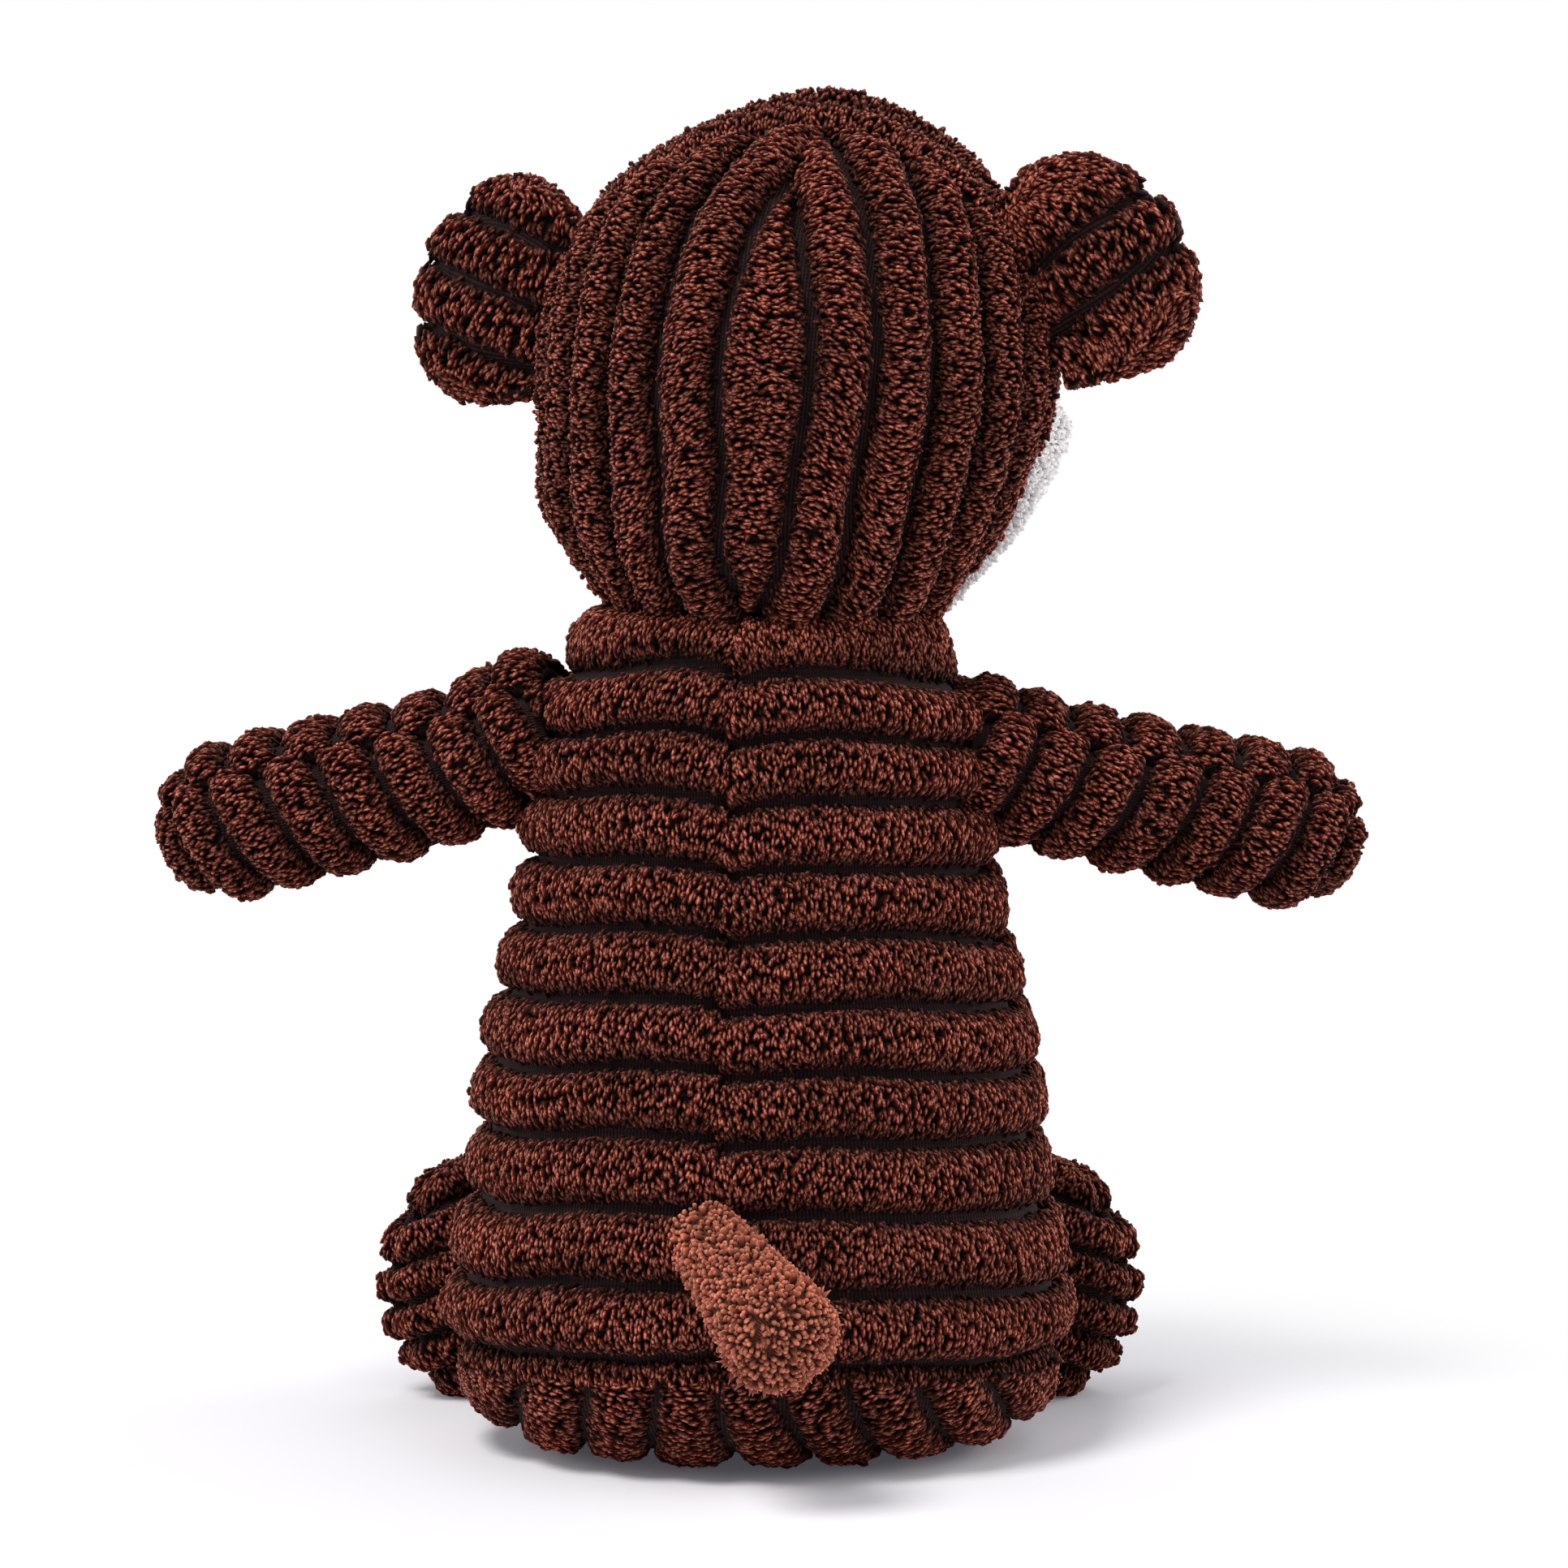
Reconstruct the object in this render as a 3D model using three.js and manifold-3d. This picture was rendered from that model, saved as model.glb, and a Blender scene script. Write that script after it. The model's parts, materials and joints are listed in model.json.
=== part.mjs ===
// Plush monkey dog toy: sewn corduroy covers over fibre filling, with a squeaker in the belly.
// Millimetres, +Z up, the face towards -Y. The origin is the middle of the flat under the seat.
import * as THREE from "three";
import { mergeVertices } from "three/addons/utils/BufferGeometryUtils.js";
import Module from "manifold-3d";

const wasm = await Module();
wasm.setup();

const { degToRad, lerp, clamp } = THREE.MathUtils;

// Cloth, seams and joints
const WALE_PITCH = 10; // rib to rib on the wide corduroy
const WALE_DEPTH = 2; // how far a groove is sunk below the ribs
const GROOVE_HALF_WIDTH = 3; // from the bottom of a groove to the crest of a rib
const COVER_THICKNESS = 4.5; // ground cloth with its pile
const SEAM_GAP = 0.3; // between pieces that are sewn or stuffed against each other
const JOINT_GAP = 0.5; // round the rounded root of anything that swings

// Torso
const TORSO_HEIGHT = 126;
const SEAT_FLAT_WIDTH = 30;
const SEAT_FLAT_DEPTH = 24;
const SEAT_SEAM_HEIGHT = 12;
const HIP_HEIGHT = 21;
const HIP_WIDTH = 96;
const HIP_DEPTH = 80;
const BELLY_HEIGHT = 57;
const BELLY_WIDTH = 87;
const BELLY_DEPTH = 72;
const CHEST_DROP = 32; // below the torso's edge
const CHEST_WIDTH = 73;
const CHEST_DEPTH = 62;
const NECK_WIDTH = 62;
const NECK_DEPTH = 57;
const TORSO_LEAN = 10; // how far the neck is in front of the seat
const LOWEST_GROOVE = 17.6;
const BACK_SEAM_SHIFT = 6; // the back seam lies left of the middle

// Head
const NECK_PIVOT_RISE = 16; // above the torso's edge
const NECK_BALL_RADIUS = 33; // underside of the head, round the neck's turning point
const NECK_OPENING_RADIUS = 15;
const HEAD_SHIFT = 4.5; // the head sits right of the middle
const HEAD_RISE = 20; // head's middle above the neck's turning point
const HEAD_WIDTH = 79;
const HEAD_DEPTH = 74;
const HEAD_HEIGHT = 84;
const HEAD_TURN = 8; // degrees, face towards the right arm
const HEAD_TILT = 4; // degrees, crown towards the right arm
const HEAD_SEAM_LEAN = 10; // degrees, ear to ear seam towards the back of the crown

// Face, measured from the head's middle
const CHEEK_TOP = -8;
const BROW_TOP = 15;
const BROW_SPREAD = 13;
const BROW_DIP = 8;
const FACE_TRIM_THICKNESS = 1.2;
const EYE_SPREAD = 11.5;
const EYE_RISE = 3;
const EYE_WIDTH = 6.5;
const EYE_HEIGHT = 8.5;
const MUZZLE_DROP = 15;
const MUZZLE_WIDTH = 42;
const MUZZLE_HEIGHT = 28;
const MUZZLE_REACH = 9; // how far the muzzle stands out from the face
const MUZZLE_ROOT = 5; // how far its back edge is drawn into the face
const NOSE_RISE = 5; // above the muzzle's middle
const NOSE_WIDTH = 10;
const NOSE_HEIGHT = 5.5;
const MOUTH_DROP = 2; // below the muzzle's middle
const MOUTH_RADIUS = 10;
const MOUTH_STROKE = 1.6;
const MOUTH_HALF_ANGLE = 52;

// Ears
const LEFT_EAR_RISE = 6; // above the head's middle
const RIGHT_EAR_RISE = 12.5;
const EAR_INSET = 1;
const EAR_ROOT_RADIUS = 4.5;
const EAR_ROOT_HEIGHT = 26;
const EAR_HEIGHT = 36;
const EAR_REACH = 25;
const EAR_THICKNESS = 10;
const EAR_WIDEST = 10; // from the root line to the ear's tallest section
const EAR_FOLD = 25; // degrees each way from straight out
const LEFT_EAR_LIFT = 15; // degrees above level
const RIGHT_EAR_LIFT = 26;
const LEFT_EAR_BEND = 20; // degrees forward at rest
const RIGHT_EAR_BEND = 0;

// Arms
const SHOULDER_DROP = 21; // below the torso's edge
const ARM_ROOT_RADIUS = 11;
const ARM_LENGTH = 61.5;
const UPPER_ARM_RADIUS = 10.8;
const HAND_RADIUS = 12.4;
const HAND_LENGTH = 5; // widest part of the hand, before its rounded end
const HAND_END_LENGTH = 14;
const ARM_SLOPE = 13; // degrees below level
const ARM_SWEEP = 15; // degrees forward
const ARM_WIDEST_ANGLE = 48; // degrees between the arm and the side's normal when it hangs
const ARM_WALE_SLANT = 28; // degrees, upper edge of each rib towards the hand

// Legs
const LEG_SPLAY = 46; // degrees off straight ahead
const LEG_ROOT_RADIUS = 12;
const LEG_RADIUS = 13;
const FOOT_RADIUS = 20.3;
const FOOT_CLEARANCE = 0.1; // above the floor that the seat rests on
const FOOT_DISTANCE = 15; // from the hip to the widest ring of the foot
const LEG_LENGTH = 24;
const SOLE_RADIUS = 16;
const SOLE_THICKNESS = 4;
const LEG_WIDEST_ANGLE = 27; // degrees between the leg and the hip's normal when it swings

// Tail
const TAIL_HEIGHT = 34;
const TAIL_ROOT_RADIUS = 9;
const TAIL_RADIUS = 8.6;
const TAIL_LENGTH = 33;
const TAIL_END_LENGTH = 4; // rounded end
const TAIL_OPENING = 4; // open root of the cover, behind the turning point
const TAIL_DROOP = 25; // degrees below level
const TAIL_SIDE = 22; // degrees towards the right
const TAIL_WIDEST_ANGLE = 50; // degrees between the tail and the back's normal when it is wagged

// Squeaker
const SQUEAKER_HEIGHT = 62;
const SQUEAKER_FRONT = 14; // front of the bulb, before the torso's middle plane
const SQUEAKER_RADIUS = 17;
const SQUEAKER_WALL = 1.2;
const SQUEAKER_TRAVEL = 4; // how far the dome is pressed into the cup
const SQUEAKER_DOME_DEPTH = 10;
const SQUEAKER_DOME_STAND = 6; // how far the dome stands out of the cup
const SQUEAKER_CORNER = 4; // rounded edge
const REED_TUBE_RADIUS = 3.2;
const REED_TUBE_BORE = 1.6;
const REED_TUBE_LENGTH = 6;
const REED_FLANGE_RADIUS = 5;
const REED_FLANGE_THICKNESS = 1.2;
const REED_THICKNESS = 0.4;

// Facets
const TORSO_SIDES = 18;
const LINING_SIDES = 12;
const HEAD_SIDES = 20;
const LIMB_SIDES = 12;
const BALL_SIDES = 16;
const TURNED_SIDES = 16;
const CURVE_STEPS = 5;
const POINTS_ON_RIB = 3; // on the head, the first of them in the groove
const ROOT_RINGS = 4;
const ROOT_END_ANGLE = 168; // degrees, where the rounded root of a limb is closed
const LEG_RINGS = 5;
const SEAT_TURNS = [0, 25, 50]; // degrees, rings on the rounded seat
const HAND_TURNS = [0, 30, 55, 75, 86];
const END_TURNS = [0, 45, 75]; // plain rounded ends
const EAR_TURNS = [0, 25, 48, 68, 84];
const EAR_ROOT_SHARES = [-0.95, -0.7, -0.3]; // of the root's radius
const HEAD_UNDERSIDE_TURNS = [-75, -38];
const HEAD_CROWN_TURNS = [-30, -2, 23, 44, 62, 76, 87];
const FAR = 300; // reaches past the whole toy
const MERGE_STEP = 1e-4;

// Closed meshes and solids

function solidOf(geometry) {
  const bare = new THREE.BufferGeometry();
  bare.setAttribute("position", geometry.getAttribute("position"));
  bare.setIndex(geometry.getIndex());
  const merged = mergeVertices(bare, MERGE_STEP);
  return new wasm.Manifold(new wasm.Mesh({
    numProp: 3,
    vertProperties: merged.getAttribute("position").array,
    triVerts: new Uint32Array(merged.getIndex().array),
  }));
}

function geometryOf(solid) {
  const { vertProperties, triVerts } = solid.getMesh();
  const geometry = new THREE.BufferGeometry();
  geometry.setAttribute("position", new THREE.BufferAttribute(vertProperties, 3));
  geometry.setIndex(new THREE.BufferAttribute(triVerts, 1));
  return geometry;
}

function middleOf(ring) {
  const sum = ring.reduce((total, point) => total.add(point), new THREE.Vector3());
  return sum.divideScalar(ring.length);
}

// Closed surface through rings of points, each running anticlockwise seen from the last ring's side.
function loft(rings) {
  const count = rings[0].length;
  const points = rings.flat();
  const faces = [];
  for (let level = 0; level + 1 < rings.length; level++) {
    for (let i = 0; i < count; i++) {
      const a = level * count + i;
      const b = level * count + (i + 1) % count;
      faces.push(a, b, a + count, b, b + count, a + count);
    }
  }
  const last = (rings.length - 1) * count;
  const firstMiddle = points.push(middleOf(rings[0])) - 1;
  const lastMiddle = points.push(middleOf(rings.at(-1))) - 1;
  for (let i = 0; i < count; i++) {
    const next = (i + 1) % count;
    faces.push(firstMiddle, next, i, lastMiddle, last + i, last + next);
  }
  const geometry = new THREE.BufferGeometry().setFromPoints(points);
  geometry.setIndex(faces);
  return geometry;
}

function ringOf(sides, pointAt) {
  return Array.from({ length: sides }, (_, i) => pointAt((i / sides) * 2 * Math.PI, i));
}

function block({ x = [-FAR, FAR], y = [-FAR, FAR], z = [-FAR, FAR] }) {
  const box = new THREE.BoxGeometry(x[1] - x[0], y[1] - y[0], z[1] - z[0]);
  return box.translate((x[0] + x[1]) / 2, (y[0] + y[1]) / 2, (z[0] + z[1]) / 2);
}

function ball(radius, centre) {
  const sphere = new THREE.SphereGeometry(radius, BALL_SIDES, BALL_SIDES / 2);
  return sphere.rotateX(Math.PI / 2).translate(centre.x, centre.y, centre.z);
}

// Curve through [place, value] pairs that keeps the slope of the neighbouring pairs.
function smoothThrough(pairs) {
  const slopes = pairs.map((_, i) => {
    const before = pairs[Math.max(i - 1, 0)];
    const after = pairs[Math.min(i + 1, pairs.length - 1)];
    return (after[1] - before[1]) / (after[0] - before[0]);
  });
  return (place) => {
    let i = 0;
    while (i + 2 < pairs.length && place > pairs[i + 1][0]) i++;
    const [start, startValue] = pairs[i];
    const [end, endValue] = pairs[i + 1];
    const span = end - start;
    const t = clamp((place - start) / span, 0, 1);
    const blend = t * t * (3 - 2 * t);
    const startPull = t * (1 - t) ** 2 * span * slopes[i];
    const endPull = t * t * (t - 1) * span * slopes[i + 1];
    return lerp(startValue, endValue, blend) + startPull + endPull;
  };
}

// Torso form

const chestHeight = TORSO_HEIGHT - CHEST_DROP;
const torsoWidth = smoothThrough([
  [HIP_HEIGHT, HIP_WIDTH],
  [BELLY_HEIGHT, BELLY_WIDTH],
  [chestHeight, CHEST_WIDTH],
  [TORSO_HEIGHT, NECK_WIDTH],
]);
const torsoDepth = smoothThrough([
  [HIP_HEIGHT, HIP_DEPTH],
  [BELLY_HEIGHT, BELLY_DEPTH],
  [chestHeight, CHEST_DEPTH],
  [TORSO_HEIGHT, NECK_DEPTH],
]);

function torsoSection(height) {
  const middle = -TORSO_LEAN * height / TORSO_HEIGHT;
  if (height >= HIP_HEIGHT) {
    return { middle, halfWidth: torsoWidth(height) / 2, halfDepth: torsoDepth(height) / 2 };
  }
  const swell = Math.sqrt(1 - (1 - height / HIP_HEIGHT) ** 2);
  const halfWidth = lerp(SEAT_FLAT_WIDTH, HIP_WIDTH, swell) / 2;
  const halfDepth = lerp(SEAT_FLAT_DEPTH, HIP_DEPTH, swell) / 2;
  return { middle, halfWidth, halfDepth };
}

function torsoRing(height, inset, sides) {
  const { middle, halfWidth, halfDepth } = torsoSection(height);
  return ringOf(sides, (angle) => new THREE.Vector3(
    (halfWidth - inset) * Math.cos(angle),
    middle + (halfDepth - inset) * Math.sin(angle),
    height,
  ));
}

function torsoOuter() {
  const seatTurns = SEAT_TURNS.map((turn) => HIP_HEIGHT * (1 - Math.cos(degToRad(turn))));
  const rings = seatTurns.map((height) => torsoRing(height, 0, TORSO_SIDES));
  for (let groove = LOWEST_GROOVE; groove + GROOVE_HALF_WIDTH < TORSO_HEIGHT; groove += WALE_PITCH) {
    rings.push(torsoRing(groove - GROOVE_HALF_WIDTH, 0, TORSO_SIDES));
    rings.push(torsoRing(groove, WALE_DEPTH, TORSO_SIDES));
    rings.push(torsoRing(groove + GROOVE_HALF_WIDTH, 0, TORSO_SIDES));
  }
  rings.push(torsoRing(TORSO_HEIGHT, 0, TORSO_SIDES));
  return solidOf(loft(rings));
}

function torsoInner(inset) {
  const heights = [inset, HIP_HEIGHT / 2, HIP_HEIGHT, BELLY_HEIGHT, chestHeight, TORSO_HEIGHT];
  return solidOf(loft(heights.map((height) => torsoRing(height, inset, LINING_SIDES))));
}

// Point on the torso's ribs in a level direction from its middle line
function torsoPoint(height, direction) {
  const { middle, halfWidth, halfDepth } = torsoSection(height);
  const reach = 1 / Math.hypot(direction.x / halfWidth, direction.y / halfDepth);
  return new THREE.Vector3(direction.x * reach, middle + direction.y * reach, height);
}

// Limb forms: local X runs from the turning point to the end, Z is up

// Rounded root up to a crease, which stays clear of the body when the limb leans by its widest angle.
function rootProfile(radius, widestAngle, thickness) {
  const crease = Math.acos(JOINT_GAP / radius) - degToRad(widestAngle);
  const bare = radius - thickness;
  return Array.from({ length: ROOT_RINGS }, (_, i) => {
    const turn = lerp(degToRad(ROOT_END_ANGLE), crease, i / (ROOT_RINGS - 1));
    return [bare * Math.cos(turn), bare * Math.sin(turn)];
  });
}

// Where a limb of the given radius can begin outside its crease.
function limbStart(radius, widestAngle) {
  const angle = degToRad(widestAngle);
  return (JOINT_GAP + radius * Math.sin(angle)) / Math.cos(angle);
}

function roundedEnd(start, length, radius, turns) {
  return turns.map((turn) => [
    start + length * Math.sin(degToRad(turn)),
    radius * Math.cos(degToRad(turn)),
  ]);
}

function limb(profile, sides, slant = () => 0) {
  return solidOf(loft(profile.map(([along, radius]) => ringOf(sides, (angle) => {
    const up = radius * Math.sin(angle);
    return new THREE.Vector3(along + slant(along) * up, radius * Math.cos(angle), up);
  }))));
}

const armStart = limbStart(UPPER_ARM_RADIUS, ARM_WIDEST_ANGLE);
const handEndStart = ARM_LENGTH - HAND_END_LENGTH;
const handStart = handEndStart - HAND_LENGTH;
const armRadius = smoothThrough([
  [armStart, UPPER_ARM_RADIUS],
  [handStart, HAND_RADIUS],
  [handEndStart, HAND_RADIUS],
]);

// The ribs slant along the arm, and its two ends stay square.
function armSlant(along) {
  const share = clamp((along - armStart) / (handEndStart - armStart), 0, 1);
  return Math.sin(share * Math.PI) * Math.tan(degToRad(ARM_WALE_SLANT));
}

function armOuter() {
  const profile = rootProfile(ARM_ROOT_RADIUS, ARM_WIDEST_ANGLE, 0);
  profile.push([armStart, UPPER_ARM_RADIUS]);
  const firstGroove = armStart + WALE_PITCH - GROOVE_HALF_WIDTH;
  for (let groove = firstGroove; groove + GROOVE_HALF_WIDTH < handEndStart; groove += WALE_PITCH) {
    profile.push([groove - GROOVE_HALF_WIDTH, armRadius(groove)]);
    profile.push([groove, armRadius(groove) - WALE_DEPTH]);
    profile.push([groove + GROOVE_HALF_WIDTH, armRadius(groove)]);
  }
  profile.push(...roundedEnd(handEndStart, HAND_END_LENGTH, HAND_RADIUS, HAND_TURNS));
  return limb(profile, LIMB_SIDES, armSlant);
}

function armInner(thickness) {
  const profile = rootProfile(ARM_ROOT_RADIUS, ARM_WIDEST_ANGLE, thickness);
  profile.push([armStart, UPPER_ARM_RADIUS - thickness]);
  profile.push([handStart, HAND_RADIUS - thickness]);
  const end = HAND_END_LENGTH - thickness;
  profile.push(...roundedEnd(handEndStart, end, HAND_RADIUS - thickness, END_TURNS));
  return limb(profile, LIMB_SIDES, armSlant);
}

const legStart = limbStart(LEG_RADIUS, LEG_WIDEST_ANGLE);

function legForm(thickness) {
  const profile = rootProfile(LEG_ROOT_RADIUS, LEG_WIDEST_ANGLE, thickness);
  const radiusAt = smoothThrough([
    [legStart, LEG_RADIUS],
    [FOOT_DISTANCE, FOOT_RADIUS],
    [LEG_LENGTH, SOLE_RADIUS],
  ]);
  for (let ring = 0; ring < LEG_RINGS; ring++) {
    const along = lerp(legStart, LEG_LENGTH, ring / (LEG_RINGS - 1));
    profile.push([along, radiusAt(along) - thickness]);
  }
  return limb(profile, LIMB_SIDES);
}

const tailStart = limbStart(TAIL_RADIUS, TAIL_WIDEST_ANGLE);

function tailForm(thickness) {
  const profile = rootProfile(TAIL_ROOT_RADIUS, TAIL_WIDEST_ANGLE, thickness);
  profile.push([tailStart, TAIL_RADIUS - thickness]);
  const endStart = TAIL_LENGTH - TAIL_END_LENGTH - thickness;
  profile.push(...roundedEnd(endStart, TAIL_END_LENGTH, TAIL_RADIUS - thickness, END_TURNS));
  return limb(profile, LIMB_SIDES);
}

// Ear form: local Z is the line it folds on, X points outward
function earForm() {
  const root = EAR_ROOT_SHARES.map((share) => EAR_ROOT_RADIUS * share);
  const fold = degToRad(EAR_FOLD);
  const crease = Math.acos((EAR_INSET + JOINT_GAP) / EAR_ROOT_RADIUS) - fold;
  const creaseAlong = EAR_ROOT_RADIUS * Math.cos(crease);
  const creaseHalf = EAR_ROOT_RADIUS * Math.sin(crease);
  const rings = root.map((along) => earRing(
    along,
    Math.sqrt(EAR_ROOT_RADIUS ** 2 - along ** 2),
    EAR_ROOT_HEIGHT / 2,
  ));
  rings.push(earRing(creaseAlong, creaseHalf, EAR_ROOT_HEIGHT / 2));
  const startHalf = lerp(creaseHalf, EAR_THICKNESS / 2, 0.5);
  const start = (EAR_INSET + JOINT_GAP + startHalf * Math.sin(fold)) / Math.cos(fold);
  rings.push(earRing(start, startHalf, lerp(EAR_ROOT_HEIGHT, EAR_HEIGHT, 0.5) / 2));
  for (const turn of EAR_TURNS) {
    const along = EAR_WIDEST + (EAR_REACH - EAR_WIDEST) * Math.sin(degToRad(turn));
    const share = Math.cos(degToRad(turn));
    rings.push(earRing(along, EAR_THICKNESS / 2 * share, EAR_HEIGHT / 2 * share));
  }
  return solidOf(loft(rings));
}

function earRing(along, halfThickness, halfHeight) {
  return ringOf(LIMB_SIDES, (angle) => new THREE.Vector3(
    along,
    halfThickness * Math.cos(angle),
    halfHeight * Math.sin(angle),
  ));
}

// Head form: the origin is the neck's turning point

function headSection(height, inset) {
  const underside = NECK_BALL_RADIUS - inset;
  const ballHalf = Math.sqrt(Math.max(underside ** 2 - height ** 2, 0));
  const rise = (height - HEAD_RISE) / (HEAD_HEIGHT / 2 - inset);
  const share = Math.sqrt(Math.max(1 - rise ** 2, 0));
  return {
    halfWidth: Math.max((HEAD_WIDTH / 2 - inset) * share, ballHalf),
    halfDepth: Math.max((HEAD_DEPTH / 2 - inset) * share, ballHalf),
  };
}

function headHeights(inset) {
  const radius = NECK_BALL_RADIUS - inset;
  const halfHeight = HEAD_HEIGHT / 2 - inset;
  const underside = HEAD_UNDERSIDE_TURNS.map((turn) => radius * Math.sin(degToRad(turn)));
  const crown = HEAD_CROWN_TURNS.map((turn) => HEAD_RISE + halfHeight * Math.sin(degToRad(turn)));
  return [...underside, ...crown];
}

function headSmooth(inset, sides) {
  return solidOf(loft(headHeights(inset).map((height) => {
    const { halfWidth, halfDepth } = headSection(height, inset);
    return ringOf(sides, (angle) => new THREE.Vector3(
      halfWidth * Math.cos(angle),
      halfDepth * Math.sin(angle),
      height,
    ));
  })));
}

// The ribs run from the crown to the neck.
function headRibbed() {
  const wales = Math.round(Math.PI * (HEAD_WIDTH + HEAD_DEPTH) / 2 / WALE_PITCH);
  return solidOf(loft(headHeights(0).map((height) => {
    const { halfWidth, halfDepth } = headSection(height, 0);
    const groove = WALE_DEPTH * halfWidth / (HEAD_WIDTH / 2);
    return ringOf(POINTS_ON_RIB * wales, (angle, i) => {
      const sunk = i % POINTS_ON_RIB === 0 ? groove : 0;
      const across = (halfWidth - sunk) * Math.cos(angle);
      const back = (halfDepth - sunk) * Math.sin(angle);
      return new THREE.Vector3(across, back, height);
    });
  })));
}

// Everything the head passes through when it turns on the neck
function headSweep() {
  return loft(headHeights(-JOINT_GAP).map((height) => {
    const { halfWidth, halfDepth } = headSection(height, -JOINT_GAP);
    const radius = Math.max(halfWidth, halfDepth);
    return ringOf(HEAD_SIDES, (angle) => new THREE.Vector3(
      radius * Math.cos(angle),
      radius * Math.sin(angle),
      height,
    ));
  }));
}

// Bars that run through the head from front to middle, with a drawn outline in X and Z
function frontBar(shape) {
  const settings = { depth: FAR, bevelEnabled: false, curveSegments: CURVE_STEPS };
  const bar = new THREE.ExtrudeGeometry(shape, settings);
  return solidOf(bar.rotateX(Math.PI / 2));
}

function faceOutline(shift) {
  const outline = new THREE.Shape();
  const top = HEAD_RISE + shift;
  outline.moveTo(-FAR, -FAR);
  outline.lineTo(FAR, -FAR);
  outline.lineTo(FAR, top + CHEEK_TOP);
  outline.lineTo(HEAD_WIDTH / 2, top + CHEEK_TOP);
  outline.splineThru([
    new THREE.Vector2(lerp(BROW_SPREAD, HEAD_WIDTH / 2, 0.5), top + lerp(CHEEK_TOP, BROW_TOP, 0.5)),
    new THREE.Vector2(BROW_SPREAD, top + BROW_TOP),
    new THREE.Vector2(0, top + BROW_DIP),
    new THREE.Vector2(-BROW_SPREAD, top + BROW_TOP),
    new THREE.Vector2(-lerp(BROW_SPREAD, HEAD_WIDTH / 2, 0.5), top + lerp(CHEEK_TOP, BROW_TOP, 0.5)),
    new THREE.Vector2(-HEAD_WIDTH / 2, top + CHEEK_TOP),
  ]);
  outline.lineTo(-FAR, top + CHEEK_TOP);
  return frontBar(outline);
}

function ellipseBar(x, z, width, height) {
  const outline = new THREE.Shape();
  outline.absellipse(x, z, width / 2, height / 2, 0, 2 * Math.PI);
  return frontBar(outline);
}

function mouthBar(z) {
  const half = degToRad(MOUTH_HALF_ANGLE);
  const down = -Math.PI / 2;
  const outline = new THREE.Shape();
  outline.absarc(0, z, MOUTH_RADIUS + MOUTH_STROKE / 2, down - half, down + half, false);
  outline.absarc(0, z, MOUTH_RADIUS - MOUTH_STROKE / 2, down + half, down - half, true);
  return frontBar(outline);
}

const muzzleMiddle = new THREE.Vector3(0, -HEAD_DEPTH / 2 + MUZZLE_ROOT, HEAD_RISE - MUZZLE_DROP);

function muzzleForm(lift) {
  const form = new THREE.SphereGeometry(1, BALL_SIDES, BALL_SIDES / 2);
  form.scale(MUZZLE_WIDTH / 2 + lift, MUZZLE_ROOT + MUZZLE_REACH + lift, MUZZLE_HEIGHT / 2 + lift);
  return solidOf(form.translate(muzzleMiddle.x, muzzleMiddle.y, muzzleMiddle.z));
}

// Places of the turning points

const neckPivot = new THREE.Vector3(-HEAD_SHIFT, -TORSO_LEAN, TORSO_HEIGHT + NECK_PIVOT_RISE);
const sideways = new THREE.Vector3(1, 0, 0);
const shoulder = torsoPoint(TORSO_HEIGHT - SHOULDER_DROP, sideways);
const legTurn = degToRad(LEG_SPLAY - 90);
const legDirection = new THREE.Vector3(Math.cos(legTurn), Math.sin(legTurn), 0);
const hip = torsoPoint(FOOT_RADIUS + FOOT_CLEARANCE, legDirection);
const tailSection = torsoSection(TAIL_HEIGHT);
const tailBack = tailSection.halfDepth * Math.sqrt(1 - (BACK_SEAM_SHIFT / tailSection.halfWidth) ** 2);
const tailRoot = new THREE.Vector3(BACK_SEAM_SHIFT, tailSection.middle + tailBack, TAIL_HEIGHT);

function mirrored(point) {
  return new THREE.Vector3(-point.x, point.y, point.z);
}

// Materials

function cloth(colour, roughness) {
  return () => new THREE.MeshStandardMaterial({ color: colour, roughness, metalness: 0 });
}

const corduroy = cloth("#5a2b20", 0.95);
const facePlush = cloth("#d8d4d0", 0.95);
const tailPlush = cloth("#7e4636", 0.95);
const fibre = cloth("#e8e6e0", 1);
const embroidery = cloth("#1a1414", 0.6);
const clearPlastic = cloth("#d9dde0", 0.35);

const toy = new THREE.Group();

function addPiece(parent, name, solid, material) {
  const piece = new THREE.Mesh(geometryOf(solid), material());
  piece.name = name;
  parent.add(piece);
}

// Head, face and ears

const head = new THREE.Group();
head.position.copy(neckPivot);
head.rotation.set(0, -degToRad(HEAD_TILT), -degToRad(HEAD_TURN));
toy.add(head);

const halfGap = SEAM_GAP / 2;
const seamLean = Math.tan(degToRad(HEAD_SEAM_LEAN));
const headLean = new THREE.Matrix4().makeShear(0, 0, 0, 0, 0, seamLean);
headLean.multiply(new THREE.Matrix4().makeTranslation(0, 0, -HEAD_RISE));
headLean.premultiply(new THREE.Matrix4().makeTranslation(0, 0, HEAD_RISE));

function headHalf(limits) {
  return solidOf(block(limits).applyMatrix4(headLean));
}

const earSides = [
  { side: "left", sign: 1, rise: LEFT_EAR_RISE, lift: LEFT_EAR_LIFT, bend: LEFT_EAR_BEND },
  { side: "right", sign: -1, rise: RIGHT_EAR_RISE, lift: RIGHT_EAR_LIFT, bend: RIGHT_EAR_BEND },
];

function earPlace({ sign, rise }) {
  const { halfWidth } = headSection(HEAD_RISE + rise, EAR_INSET);
  return new THREE.Vector3(sign * halfWidth, rise * seamLean, HEAD_RISE + rise);
}

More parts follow.
